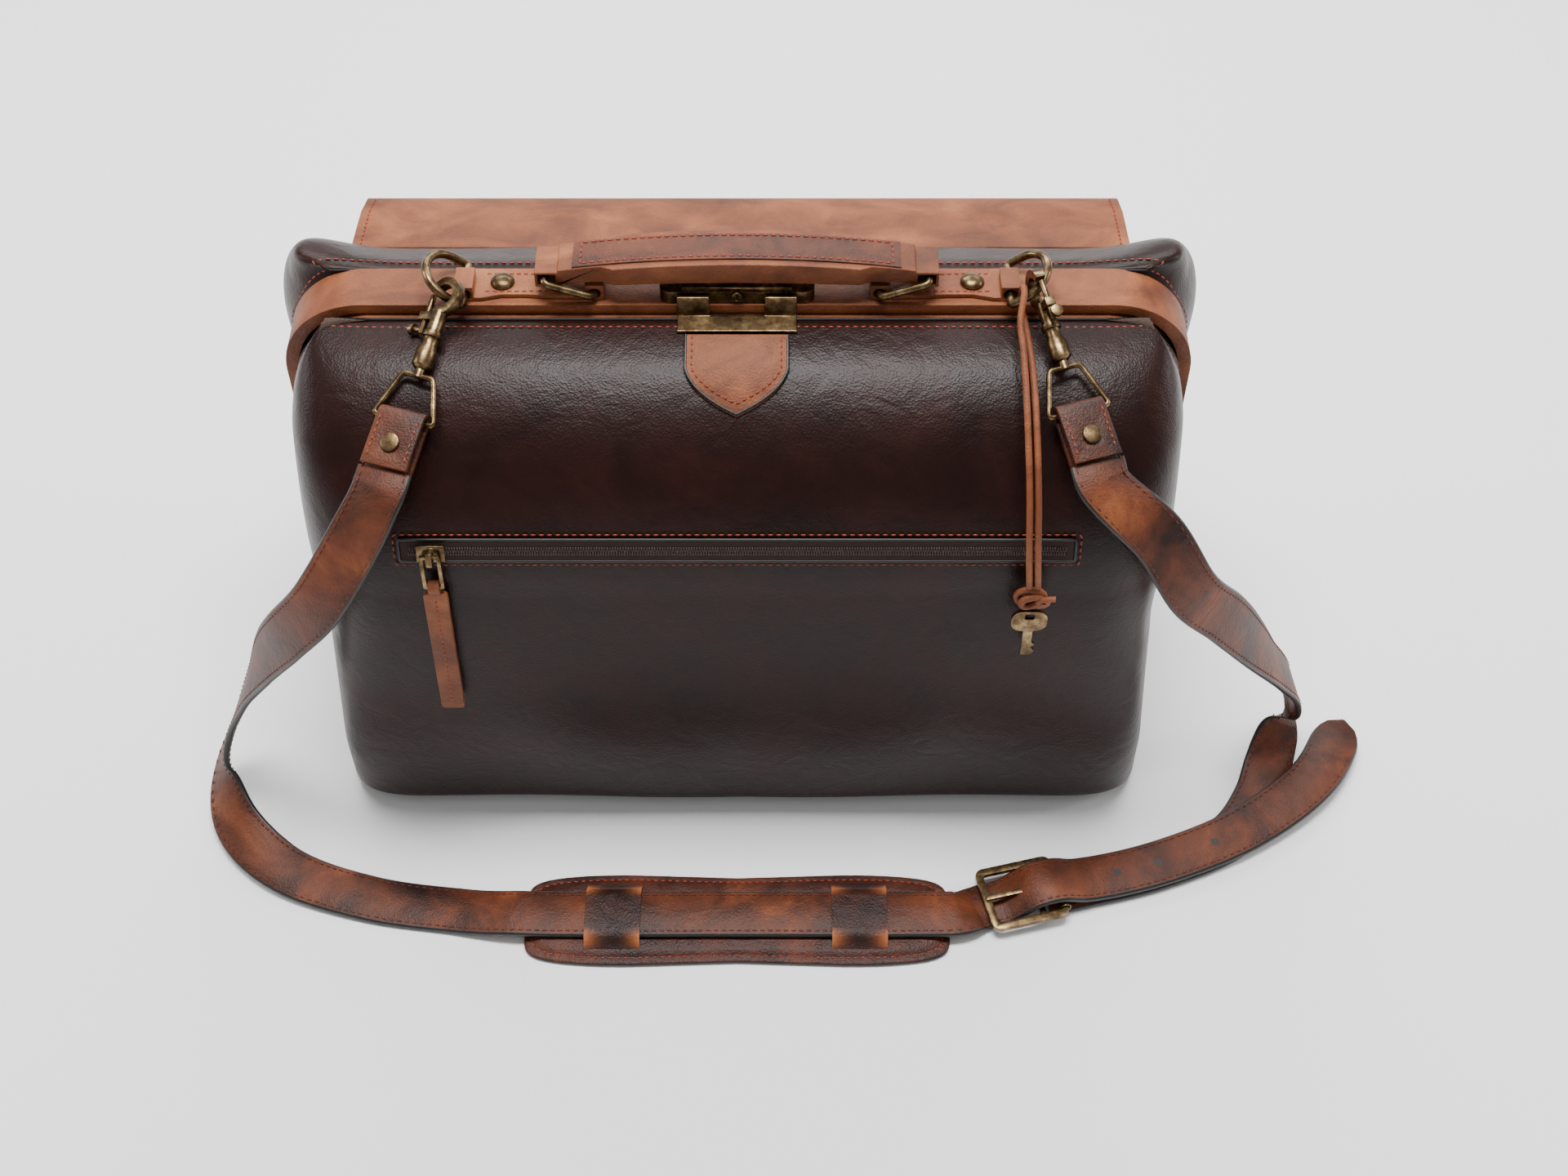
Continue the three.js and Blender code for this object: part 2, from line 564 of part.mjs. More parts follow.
add('lock_cylinder', combine({
  join: [rod(vec(0, LOCK_FRONT - 0.9, KEYHOLE_HEIGHT), vec(0, LOCK_FRONT + 3.7, KEYHOLE_HEIGHT),
    CYLINDER_RADIUS, 20)],
  cut: [block(-0.5, 0.5, LOCK_FRONT - 2, LOCK_FRONT + 1, KEYHOLE_HEIGHT - 1.8, KEYHOLE_HEIGHT + 1.8)],
}), 'steel');

// ---- Handle, its rings, and the riveted chapes that hold rings to the rear frame ----
const RING_CENTRE_X = CHAPE_INNER + RING_REACH * Math.cos(rad(RING_TILT));
const RING_CENTRE_Z = BAR_HEIGHT + RING_REACH * Math.sin(rad(RING_TILT));
const HANDLE_FOOT = DECK + 10.2;
const RING_SWING_ROOM = 2.4;
function handleBody() {
  const side = new THREE.Shape();
  side.moveTo(-HANDLE_HALF_LENGTH, HANDLE_FOOT);
  side.quadraticCurveTo(0, HANDLE_FOOT + HANDLE_RISE, HANDLE_HALF_LENGTH, HANDLE_FOOT);
  side.lineTo(HANDLE_HALF_LENGTH, HANDLE_FOOT + 8.5);
  side.quadraticCurveTo(0, HANDLE_FOOT + 8.5 + 2 * HANDLE_RISE, -HANDLE_HALF_LENGTH, HANDLE_FOOT + 8.5);
  const waist = CHAPE_HALF_WIDTH;
  const wideEnd = CHAPE_INNER - 10;
  const taperEnd = CHAPE_INNER - 4;
  const plan = polygon([
    [-HANDLE_HALF_LENGTH - 1, MID_Y - waist], [-taperEnd, MID_Y - waist], [-wideEnd,
      MID_Y - HANDLE_HALF_DEPTH],
    [wideEnd, MID_Y - HANDLE_HALF_DEPTH], [taperEnd, MID_Y - waist], [HANDLE_HALF_LENGTH + 1,
      MID_Y - waist],
    [HANDLE_HALF_LENGTH + 1, MID_Y + waist], [taperEnd, MID_Y + waist], [wideEnd,
      MID_Y + HANDLE_HALF_DEPTH],
    [-wideEnd, MID_Y + HANDLE_HALF_DEPTH], [-taperEnd, MID_Y + waist], [-HANDLE_HALF_LENGTH - 1,
      MID_Y + waist],
  ]);
  const grip = toSolid(alongY(side, MID_Y - HANDLE_HALF_DEPTH, MID_Y + HANDLE_HALF_DEPTH, 12))
    .intersect(toSolid(alongZ(plan, DECK, DECK + 60)));
  let solid = grip;
  for (const sign of [-1, 1]) {
    const outerX = RING_CENTRE_X + RING_ROOM;
    const x = [sign * (HANDLE_HALF_LENGTH - 1), sign * (outerX + LOOP_WALL)].sort((a, b) => a - b);
    const loop = block(x[0], x[1], MID_Y - waist, MID_Y + waist,
      RING_CENTRE_Z - RING_ROOM - LOOP_WALL, RING_CENTRE_Z + RING_ROOM + LOOP_WALL);
    const h = [sign * (RING_CENTRE_X - RING_ROOM - RING_SWING_ROOM), sign * outerX].sort((a, b) => a - b);
    const hole = block(h[0], h[1], MID_Y - waist - 1, MID_Y + waist + 1,
      RING_CENTRE_Z - RING_ROOM, RING_CENTRE_Z + RING_ROOM);
    solid = solid.add(toSolid(loop)).subtract(toSolid(hole));
  }
  return fromSolid(solid);
}
add('handle', handleBody(), 'tanLeather');

// A flat ring outline in a tilted plane that turns on a bar along Y at x = side * pivot.
function tiltedRing(side, pivot, y, tilt, outline, wire, segments) {
  const across = vec(side * Math.cos(rad(tilt)), 0, Math.sin(rad(tilt)));
  const along = vec(0, 1, 0);
  const normal = across.clone().cross(along);
  const place = new THREE.Matrix4().makeBasis(across, along, normal).setPosition(side * pivot, y,
    BAR_HEIGHT);
  return alongZ(outline, -wire / 2, wire / 2, segments).applyMatrix4(place);
}

function handleRingOutline() {
  const w = RING_WIRE / 2;
  const v = CHAPE_HALF_WIDTH + 0.8;
  const outline = roundedRect(-w, RING_REACH + w, -v - RING_WIRE, v + RING_WIRE, 3);
  outline.holes.push(roundedRect(w, RING_REACH - w, -v, v, 0.8));
  return outline;
}

function dOutline() {
  const w = D_WIRE / 2;
  const outline = new THREE.Shape();
  outline.moveTo(-w, -D_HALF_WIDTH);
  outline.lineTo(D_STRAIGHT, -D_HALF_WIDTH);
  outline.absellipse(D_STRAIGHT, 0, D_REACH, D_HALF_WIDTH, -Math.PI / 2, Math.PI / 2, false, 0);
  outline.lineTo(-w, D_HALF_WIDTH);
  const hole = new THREE.Path();
  hole.moveTo(w, -D_HALF_WIDTH + D_WIRE);
  hole.lineTo(D_STRAIGHT, -D_HALF_WIDTH + D_WIRE);
  hole.absellipse(D_STRAIGHT, 0, D_REACH - D_WIRE, D_HALF_WIDTH - D_WIRE, -Math.PI / 2,
    Math.PI / 2, false, 0);
  hole.lineTo(w, D_HALF_WIDTH - D_WIRE);
  outline.holes.push(hole);
  return outline;
}

const D_CENTRE_Y = 3;
const RIVET_X = (CHAPE_INNER + CHAPE_OUTER) / 2 + 14;
const CHAPE_THICKNESS = 2.3;
function chape(side) {
  const inner = side * CHAPE_INNER;
  const outer = side * CHAPE_OUTER;
  const w = CHAPE_HALF_WIDTH;
  const e = CHAPE_END_HALF;
  const plan = polygon([
    [inner - side * 4.6, MID_Y - w], [inner + side * 10, MID_Y - w], [side * (RIVET_X - 12),
      MID_Y - w + 1.5],
    [side * RIVET_X, MID_Y - w + 1.5], [outer - side * 8, D_CENTRE_Y - e], [outer + side * 4.8,
      D_CENTRE_Y - e],
    [outer + side * 4.8, D_CENTRE_Y + e], [outer - side * 8, D_CENTRE_Y + e], [side * RIVET_X,
      MID_Y + w - 1.5],
    [side * (RIVET_X - 12), MID_Y + w - 1.5], [inner + side * 10, MID_Y + w], [inner - side * 4.6,
      MID_Y + w],
  ]);
  const loops = [[inner, MID_Y, w, RING_ROOM], [outer, D_CENTRE_Y, e, D_ROOM]];
  const join = [alongZ(plan, DECK, DECK + CHAPE_THICKNESS)];
  const cut = [];
  for (const [x, y, half, hole] of loops) {
    join.push(block(x - 4.6, x + 4.6, y - half, y + half, DECK, BAR_HEIGHT + 4.7));
    cut.push(rod(vec(x, y - half - 1, BAR_HEIGHT), vec(x, y + half + 1, BAR_HEIGHT), hole, 16));
  }
  return combine({ join, cut });
}

for (const [side, name] of [[-1, 'left'], [1, 'right']]) {
  add(`chape_${name}`, chape(side), 'tanLeather');
  add(`handle_ring_${name}`, tiltedRing(side, CHAPE_INNER, MID_Y, RING_TILT, handleRingOutline(),
    RING_WIRE, 3),
    'brass');
  add(`d_ring_${name}`, tiltedRing(side, CHAPE_OUTER, D_CENTRE_Y, D_TILT, dOutline(), D_WIRE, 8), 'brass');
  const rivetFoot = DECK + CHAPE_THICKNESS + TOUCH_GAP;
  const dome = new THREE.LatheGeometry([
    new THREE.Vector2(0, 0), new THREE.Vector2(6, 0), new THREE.Vector2(6, 0.8),
      new THREE.Vector2(4.6, 2.2),
    new THREE.Vector2(2.4, 3), new THREE.Vector2(0, 3.3)], 24);
  add(`chape_rivet_${name}`, dome.rotateX(Math.PI / 2).translate(side * RIVET_X, MID_Y, rivetFoot),
    'brass');
}

// ---- Bolt snaps hooked on the D-rings, with their swivel eyes and the strap's folded ends ----
const SNAP_DIRECTION = { across: 0.28, forward: -0.86, down: -0.427 };
const JAW_INNER = 5.8;
const JAW_OUTER = 9.8;
const JAW_HALF_THICKNESS = 2.4;
const ROD_X = -8.2;
const TRIGGER_TRAVEL = 5;
const EYE_TOP = -42;
const EYE_BAR = -65;
const EYE_HALF_TOP = 9.5;
const EYE_HALF_BASE = 17;
const FOLD_HALF_WIDTH = 12;
const FOLD_RIVET = EYE_BAR - 14;
const FOLD_END = EYE_BAR - FOLD_LENGTH;

function snapBody() {
  const jaw = new THREE.Shape();
  jaw.absarc(0, 0, JAW_OUTER, rad(-115), rad(165), false);
  jaw.absarc(0, 0, JAW_INNER, rad(165), rad(-115), true);
  const profile = [[0, -8], [3.8, -8], [3.8, -19], [4.9, -19.5], [4.9, -22], [3.8, -22.5], [3.8, -26],
    [5.2, -29], [5.2, -37], [3.4, -38.5], [0, -38.5]].map(([r, y]) => new THREE.Vector2(r, y));
  const barrel = new THREE.LatheGeometry(profile.reverse(), 20);
  return combine({
    join: [alongZ(jaw, -JAW_HALF_THICKNESS, JAW_HALF_THICKNESS, 16), barrel,
      block(ROD_X - 2.8, 0, -13, -9, -JAW_HALF_THICKNESS, JAW_HALF_THICKNESS)],
    cut: [rod(vec(ROD_X, -14, 0), vec(ROD_X, -8, 0), 1.9, 14), rod(vec(0, -39, 0), vec(0, -31, 0),
      2.3, 14)],
  });
}

function snapTrigger() {
  const knobY = -18;
  return combine({
    join: [rod(vec(ROD_X, -20, 0), vec(ROD_X, 0.6, 0), 1.5, 14),
      rod(vec(ROD_X - 6, knobY, 0), vec(ROD_X, knobY, 0), 1.3, 10),
      rod(vec(ROD_X - 7.5, knobY, 0), vec(ROD_X - 5, knobY, 0), 2.9, 14)],
  });
}

function swivelEye() {
  const w = EYE_WIRE / 2;
  const outline = polygon([[-EYE_HALF_TOP, EYE_TOP + w], [-EYE_HALF_BASE, EYE_BAR - w],
    [EYE_HALF_BASE, EYE_BAR - w],
    [EYE_HALF_TOP, EYE_TOP + w]]);
  outline.holes.push(new THREE.Path([[-EYE_HALF_TOP + 2.4, EYE_TOP - w], [-EYE_HALF_BASE + 3.4,
    EYE_BAR + w],
    [EYE_HALF_BASE - 3.4, EYE_BAR + w], [EYE_HALF_TOP - 2.4, EYE_TOP - w]].map(([x,
      y]) => new THREE.Vector2(x, y))));
  return combine({ join: [alongZ(outline, -w, w), rod(vec(0, EYE_TOP, 0), vec(0, -32, 0), 2, 14)] });
}

function strapFold() {
  const inner = 2.3;
  const outer = inner + 2.6;
  const loop = new THREE.Shape();
  loop.moveTo(FOLD_END, -outer);
  loop.lineTo(EYE_BAR, -outer);
  loop.absarc(EYE_BAR, 0, outer, -Math.PI / 2, Math.PI / 2, false);
  loop.lineTo(FOLD_END, outer);
  loop.lineTo(FOLD_END, inner);
  loop.absarc(EYE_BAR, 0, inner, Math.PI / 2, -Math.PI / 2, true);
  loop.lineTo(FOLD_END, -inner);
  const hole = rod(vec(0, FOLD_RIVET, -7), vec(0, FOLD_RIVET, 7), 2.3, 14);
  return combine({ join: [alongX(loop, -FOLD_HALF_WIDTH, FOLD_HALF_WIDTH, 10)], cut: [hole] });
}

function foldRivet() {
  const face = 4.9 + TOUCH_GAP;
  return combine({
    join: [rod(vec(0, FOLD_RIVET, -face - 1.2), vec(0, FOLD_RIVET, face + 1.6), 2, 14),
      rod(vec(0, FOLD_RIVET, face), vec(0, FOLD_RIVET, face + 1.6), 4.6, 20),
      rod(vec(0, FOLD_RIVET, -face - 1.2), vec(0, FOLD_RIVET, -face), 4.6, 20)],
  });
}

// The local frame of a snap: Y points back at the jaw, Z is the face, turned by spin.
function snapFrame(side, ringReach, spin) {
  const down = vec(side * SNAP_DIRECTION.across, SNAP_DIRECTION.forward, SNAP_DIRECTION.down).normalize();
  const y = down.clone().negate();
  const z = vec(0, 0, 1).addScaledVector(y, -y.z).normalize();
  const x = y.clone().cross(z);
  const arcShare = Math.max(0, ringReach - D_STRAIGHT) / (D_REACH - D_WIRE / 2);
  const contact = vec(
    side * (CHAPE_OUTER + ringReach * Math.cos(rad(D_TILT))),
    D_CENTRE_Y - (D_HALF_WIDTH - D_WIRE / 2) * Math.sqrt(1 - arcShare ** 2),
    BAR_HEIGHT + ringReach * Math.sin(rad(D_TILT)),
  );
  const turned = new THREE.Matrix4().makeRotationY(rad(spin));
  return new THREE.Matrix4().makeBasis(x, y, z).setPosition(contact).multiply(turned);
}

const SNAPS = [
  { side: -1, name: 'left', ringReach: 9, spin: -24, eyeSpin: 0 },
  { side: 1, name: 'right', ringReach: 15, spin: 90, eyeSpin: 0 },
];
for (const snap of SNAPS) {
  const hooked = snapFrame(snap.side, snap.ringReach, snap.spin);
  const hung = snapFrame(snap.side, snap.ringReach, snap.eyeSpin);
  add(`snap_body_${snap.name}`, snapBody().applyMatrix4(hooked), 'brass');
  add(`snap_trigger_${snap.name}`, snapTrigger().applyMatrix4(hooked), 'brass');
  add(`swivel_eye_${snap.name}`, swivelEye().applyMatrix4(hung), 'brass');
  add(`strap_fold_${snap.name}`, strapFold().applyMatrix4(hung), 'tanLeather');
  add(`strap_rivet_${snap.name}`, foldRivet().applyMatrix4(hung), 'brass');
}

// ---- Shoulder strap: the long end with holes, the short buckle end, the pad and the buckle ----
function pastFold(snap, distance) {
  const place = snapFrame(snap.side, snap.ringReach, snap.eyeSpin);
  const at = vec(0, FOLD_END - distance, 0).applyMatrix4(place);
  const face = vec(0, 0, 1).transformDirection(place);
  return [at.x, at.y, at.z, face.x, face.y, face.z];
}

const BUCKLE_ALONG = [Math.cos(rad(BUCKLE_TURN)), Math.sin(rad(BUCKLE_TURN))];
function inBuckle(u, z) {
  return [BUCKLE_PLACE[0] + u * BUCKLE_ALONG[0], BUCKLE_PLACE[1] + u * BUCKLE_ALONG[1], z];
}
const UP = [0, 0, 1];

const STRAP_LONG = [
  pastFold(SNAPS[0], 0.8),
  pastFold(SNAPS[0], 12),
  [-183, -111, 240, -0.25, -0.85, 0.45],
  [-206, -120, 203, -0.45, -0.88, 0.15],
  [-229, -112, 168, -0.7, -0.7, 0.05],
  [-250, -95, 128, -0.9, -0.35, 0.1],
  [-268, -82, 88, -0.95, 0, 0.2],
  [-283, -80, 52, -0.9, 0.1, 0.3],
  [-292, -93, 26, -0.75, 0, 0.6],
  [-284, -120, 12.5, -0.45, -0.2, 0.85],
  [-255, -147, 5.5, -0.1, -0.05, 1],
  [-205, -165, 2.4, ...UP],
  [-155, -173, 2.6, ...UP],
  [-138, -175.8, 5, ...UP],
  [-124, -177.4, 7.5, ...UP],
  [-100, -178, 7.4, ...UP],
  [0, -178, 7.4, ...UP],
  [95, -178, 7.4, ...UP],
  [118, -177.4, 7.3, ...UP],
  [127, -173, 3.6, ...UP],
  [...inBuckle(-20.5, 2.8), ...UP],
  [...inBuckle(-11, 4), -0.35, -0.09, 1],
  [...inBuckle(7, 14), ...UP],
  [...inBuckle(19.5, 14), ...UP],
  [...inBuckle(34, 8.4), ...UP],
  [230, -145, 6.4, ...UP],
  [285, -120, 6.4, ...UP],
  [326, -88, 8.8, ...UP],
  [350, -47, 6, ...UP],
];
const STRAP_SHORT = [
  pastFold(SNAPS[1], 0.8),
  pastFold(SNAPS[1], 12),
  [203, -110, 240, 0.25, -0.85, 0.45],
  [224, -116, 206, 0.45, -0.88, 0.15],
  [247, -104, 172, 0.7, -0.7, 0.05],
  [270, -86, 130, 0.9, -0.35, 0.1],
  [292, -68, 88, 0.95, 0, 0.2],
  [310, -55, 52, 0.95, 0.1, 0.3],
  [313, -52, 28, 0.8, 0.1, 0.5],
  [306, -66, 13, 0.4, -0.1, 0.9],
  [301, -79, 6, 0.2, -0.05, 1],
  [294, -97, 3, ...UP],
  [274, -124, 2.4, ...UP],
  [230, -145, 2.3, ...UP],
  [...inBuckle(34, 2.2), ...UP],
  [...inBuckle(12.5, 2.2), ...UP],
];
const HOLE_POINTS = [[206, -152], [230, -145], [262, -131]];
const prongSlot = block(-9.5, 13.5, -2.3, 2.3, -5,
  30).rotateZ(rad(BUCKLE_TURN)).translate(...BUCKLE_PLACE, 0);
add('strap_long', combine({
  join: [ribbon(STRAP_LONG, STRAP_WIDTH, STRAP_THICKNESS)],
  cut: [prongSlot, ...HOLE_POINTS.map(([x, y]) => rod(vec(x, y, 4.3), vec(x, y, 12), 2.2, 12))],
}), 'tanLeather');
add('strap_short', ribbon(STRAP_SHORT, STRAP_WIDTH, STRAP_THICKNESS), 'tanLeather');

const PAD_BRIDGE = 30;
const PAD_BRIDGES = [-70, 64];
function strapPad() {
  const [x, y] = PAD_CENTRE;
  const foot = TOUCH_GAP;
  const top = foot + PAD_THICKNESS;
  const tunnelTop = top + STRAP_THICKNESS + 1.2;
  const plan = roundedRect(x - PAD_LENGTH / 2, x + PAD_LENGTH / 2, y - PAD_WIDTH / 2,
    y + PAD_WIDTH / 2, 7);
  const join = [alongZ(plan, foot, top, 4)];
  const cut = [];
  for (const bridge of PAD_BRIDGES) {
    const half = STRAP_WIDTH / 2 + 3.4;
    join.push(block(x + bridge - PAD_BRIDGE / 2, x + bridge + PAD_BRIDGE / 2, y - half, y + half, top - 1,
      tunnelTop + 2.4));
    cut.push(block(x + bridge - PAD_BRIDGE, x + bridge + PAD_BRIDGE, y - half + 3, y + half - 3,
      top, tunnelTop));
  }
  return combine({ join, cut });
}
add('strap_pad', strapPad(), 'padLeather');

const buckleFrame = new THREE.Group();
buckleFrame.position.set(...BUCKLE_PLACE, BUCKLE_BAR_HEIGHT);
buckleFrame.rotation.set(0, 0, rad(BUCKLE_TURN));
bag.add(buckleFrame);
const BUCKLE_HALF = STRAP_WIDTH / 2 + 5.5;
const SLOT_HALF = STRAP_WIDTH / 2 + 1.3;
const PRONG_BAR = 7;
const ROLLER_BAR = 19.5;
function buckle() {
  const outline = roundedRect(-22.7, ROLLER_BAR + 1.5, -BUCKLE_HALF, BUCKLE_HALF, 5);
  outline.holes.push(roundedRect(-18.5, PRONG_BAR - 1.5, -SLOT_HALF, SLOT_HALF, 2));
  outline.holes.push(roundedRect(PRONG_BAR + 1.5, ROLLER_BAR - 1.5, -SLOT_HALF, SLOT_HALF, 1));
  return alongZ(outline, -1.5, 1.5, 4);
}
add('buckle_frame', buckle(), 'brass', buckleFrame);
const rollerHalf = SLOT_HALF - 0.5;
add('buckle_roller', combine({
  join: [rod(vec(ROLLER_BAR, -rollerHalf, 0), vec(ROLLER_BAR, rollerHalf, 0), 3.5, 20)],
  cut: [rod(vec(ROLLER_BAR, -rollerHalf - 1, 0), vec(ROLLER_BAR, rollerHalf + 1, 0), 2.5, 20)],
}), 'brass', buckleFrame);
add('buckle_prong', combine({
  join: [rod(vec(PRONG_BAR, -1.4, 0), vec(PRONG_BAR, 1.4, 0), 4, 20),
    block(-21.5, PRONG_BAR, -1.4, 1.4, 1.9, 3.8)],
  cut: [rod(vec(PRONG_BAR, -2, 0), vec(PRONG_BAR, 2, 0), 2.5, 20)],
}), 'brass', buckleFrame);

// ---- Thong tied on the right D-ring, with the lock's key ----
const THONG_X = 139.3;
const STRAND = 2.1;
const RING_FRONT_Y = D_CENTRE_Y - D_HALF_WIDTH + D_WIRE / 2;
const THONG_LOOP_Z = BAR_HEIGHT + 3.7;
const THONG_FRONT = [
  [THONG_X + 6, -115, 209],
  [THONG_X + 4, -113.5, 232],
  [THONG_X + 3, -99, 258],
  [THONG_X + 2, -74, 280],
  [THONG_X + 1, -44, 296],
  [THONG_X, -26, 303],
];
const thongPath = [
  ...THONG_FRONT.map(([x, y, z]) => vec(x - STRAND, y, z)),
  vec(THONG_X, RING_FRONT_Y - 2.5, THONG_LOOP_Z + 5.8),
  vec(THONG_X, RING_FRONT_Y + 3.4, THONG_LOOP_Z + 5.2),
  vec(THONG_X, RING_FRONT_Y + 5.2, THONG_LOOP_Z),
  vec(THONG_X, RING_FRONT_Y + 3.2, THONG_LOOP_Z - 5.2),
  vec(THONG_X, RING_FRONT_Y - 3, THONG_LOOP_Z - 6),
  vec(THONG_X + STRAND / 2, -24, 297.5),
  vec(THONG_X + 1 + STRAND, -44, 292),
  ...THONG_FRONT.slice(0, 4).reverse().map(([x, y, z]) => vec(x + STRAND, y, z)),
];
const thongSection = new THREE.Shape();
thongSection.absarc(0, 0, THONG_RADIUS, 0, Math.PI * 2, false);
add('thong', new THREE.ExtrudeGeometry(thongSection, {
  steps: 72,
  curveSegments: 8,
  bevelEnabled: false,
  extrudePath: new THREE.CatmullRomCurve3(thongPath),
}), 'tanLeather');

const KNOT = vec(THONG_X + 6, -115, 200);
add('thong_knot', new THREE.SphereGeometry(1, 14, 10).scale(10, 4.5, 8).translate(KNOT.x, KNOT.y, KNOT.z),
  'tanLeather');
const KEY_TOP = KNOT.z - 9;
function key() {
  const bow = roundedRect(-9, 9, KEY_TOP - 15, KEY_TOP, 6);
  bow.holes.push(roundedRect(-2.4, 2.4, KEY_TOP - 6, KEY_TOP - 2, 1));
  const blade = polygon([[-2.4, KEY_TOP - 14], [2.4, KEY_TOP - 14], [2.4, KEY_TOP - 24], [4.4,
    KEY_TOP - 26],
    [2.4, KEY_TOP - 28], [4.4, KEY_TOP - 31], [2.4, KEY_TOP - 34], [-2.4, KEY_TOP - 34]]);
  return combine({ join: [alongY(bow, -0.9, 0.9, 5), alongY(blade, -0.9, 0.9)] }).translate(KNOT.x,
    KNOT.y, 0);
}
add('key', key(), 'brass');

export default bag;
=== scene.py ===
# %% [markdown]
# A doctor bag is a leather body sewn to a hinged metal frame. This lesson dresses the plain solids
# of such a bag: smooth dark leather on the body, waxed tan leather on the frame, the handle and the
# strap, and antique brass on everything that hooks, turns or locks.
# The solids are loaded first, because the pieces ride on their bodies and a few places are read from them.

# %% Load the frame
import json
import math

import bmesh
import bpy
from mathutils import Matrix, Vector

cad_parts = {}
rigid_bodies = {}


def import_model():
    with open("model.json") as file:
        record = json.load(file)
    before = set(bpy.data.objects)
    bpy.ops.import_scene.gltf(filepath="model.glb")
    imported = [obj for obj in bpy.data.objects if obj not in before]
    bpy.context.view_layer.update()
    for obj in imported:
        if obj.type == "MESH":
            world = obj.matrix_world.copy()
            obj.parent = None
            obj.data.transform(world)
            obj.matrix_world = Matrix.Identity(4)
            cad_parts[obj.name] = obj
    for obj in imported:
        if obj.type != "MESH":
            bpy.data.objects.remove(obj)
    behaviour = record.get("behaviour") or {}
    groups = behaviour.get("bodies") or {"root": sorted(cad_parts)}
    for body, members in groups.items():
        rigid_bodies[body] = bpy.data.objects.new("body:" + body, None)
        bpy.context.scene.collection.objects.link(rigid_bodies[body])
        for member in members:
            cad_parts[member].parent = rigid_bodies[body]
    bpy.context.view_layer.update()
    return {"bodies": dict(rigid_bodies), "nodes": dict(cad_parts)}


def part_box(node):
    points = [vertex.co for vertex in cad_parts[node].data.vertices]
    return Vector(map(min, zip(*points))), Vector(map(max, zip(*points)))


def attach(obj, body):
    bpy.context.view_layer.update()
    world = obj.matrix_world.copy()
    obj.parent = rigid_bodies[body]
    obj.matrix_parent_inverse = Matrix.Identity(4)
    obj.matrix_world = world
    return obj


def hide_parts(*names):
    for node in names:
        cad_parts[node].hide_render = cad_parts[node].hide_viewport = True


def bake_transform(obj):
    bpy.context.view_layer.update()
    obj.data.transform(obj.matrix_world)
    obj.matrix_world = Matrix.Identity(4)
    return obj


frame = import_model()
MM = 0.001
HINGE = Vector((0, 0, 0.190))

# %% [markdown]
# The camera stands where a person looks down at a bag on a table: about fifty degrees up and a
# little more than a metre away. A long lens keeps the bag's sides nearly parallel.

# %% Camera
CAMERA_TILT = math.radians(50)
CAMERA_DISTANCE = 1.260
CAMERA_RISE = 0.046
CAMERA_RIGHT = 0.023
camera_data = bpy.data.cameras.new("camera")
camera_data.lens = 48.1
camera = bpy.data.objects.new("camera", camera_data)
camera.location = (
    CAMERA_RIGHT,
    -math.cos(CAMERA_TILT) * CAMERA_DISTANCE + math.sin(CAMERA_TILT) * CAMERA_RISE,
    math.sin(CAMERA_TILT) * CAMERA_DISTANCE + math.cos(CAMERA_TILT) * CAMERA_RISE,
)
camera.rotation_euler = (math.pi / 2 - CAMERA_TILT, 0, 0)
bpy.context.collection.objects.link(camera)
bpy.context.scene.camera = camera
print("camera at", [round(v, 3) for v in camera.location])

# %% [markdown]
# Soft studio light: one wide panel above and behind gives the grey sheen on the bag's shoulder,
# and two weaker ones at the sides draw thin bright lines down the vertical edges.

# %% Lights, world and floor
def area_light(name, place, aim, size, power):
    """A rectangular light at place, pointing at aim."""
    data = bpy.data.lights.new(name, "AREA")
    data.shape = "RECTANGLE"
    data.size, data.size_y = size
    data.energy = power
    lamp = bpy.data.objects.new(name, data)
    lamp.location = place
    lamp.rotation_euler = (Vector(aim) - Vector(place)).to_track_quat("-Z", "Y").to_euler()
    bpy.context.collection.objects.link(lamp)
    return lamp


area_light("light_above", (0.0, 0.05, 2.0), (0, 0.02, 0.1), (1.1, 0.5), 58)
area_light("light_back", (0.0, 1.6, 1.4), (0, 0.1, 0.2), (2.4, 0.6), 38)
area_light("light_left", (-2.0, 0.3, 0.9), (0, 0, 0.1), (0.5, 1.2), 14)
area_light("light_right", (2.0, 0.3, 0.9), (0, 0, 0.1), (0.5, 1.2), 14)

world = bpy.data.worlds.new("studio")
bpy.context.scene.world = world
world.use_nodes = True
world.node_tree.nodes["Background"].inputs["Color"].default_value = (0.93, 0.93, 0.93, 1)
world.node_tree.nodes["Background"].inputs["Strength"].default_value = 0.5


# %% [markdown]
# Materials come next. Leather is skin: its grain is a net of small soft cells, its colour is
# uneven over a hand's width, and it creases where it bends. Each finish is built from noise on the
# Object coordinates, which are metres, so a scale of one over the cell's size gives the real size.

# %% Helpers for materials
def linear(hex_code):
    """An sRGB hex colour as the linear RGBA that a shader wants."""
    channels = [int(hex_code[i:i + 2], 16) / 255 for i in (1, 3, 5)]
    flat = [c / 12.92 if c <= 0.04045 else ((c + 0.055) / 1.055) ** 2.4 for c in channels]
    return (*flat, 1.0)


def add_node(tree, kind, links=None, **settings):
    """Add a node; settings are its properties or inputs, links go from sockets to its inputs."""
    made = tree.nodes.new(kind)
    for key, value in settings.items():
        if hasattr(made, key):
            setattr(made, key, value)
        else:
            made.inputs[key.replace("_", " ")].default_value = value
    for key, socket in (links or {}).items():
        tree.links.new(socket, made.inputs[key])
    return made


def start_material(name, **settings):
    """A material with its principled shader's constant sockets set."""
    material = bpy.data.materials.new(name)
    material.use_nodes = True
    shader = material.node_tree.nodes["Principled BSDF"]
    for key, value in settings.items():
        shader.inputs[key.replace("_", " ")].default_value = value
    return material, material.node_tree, shader


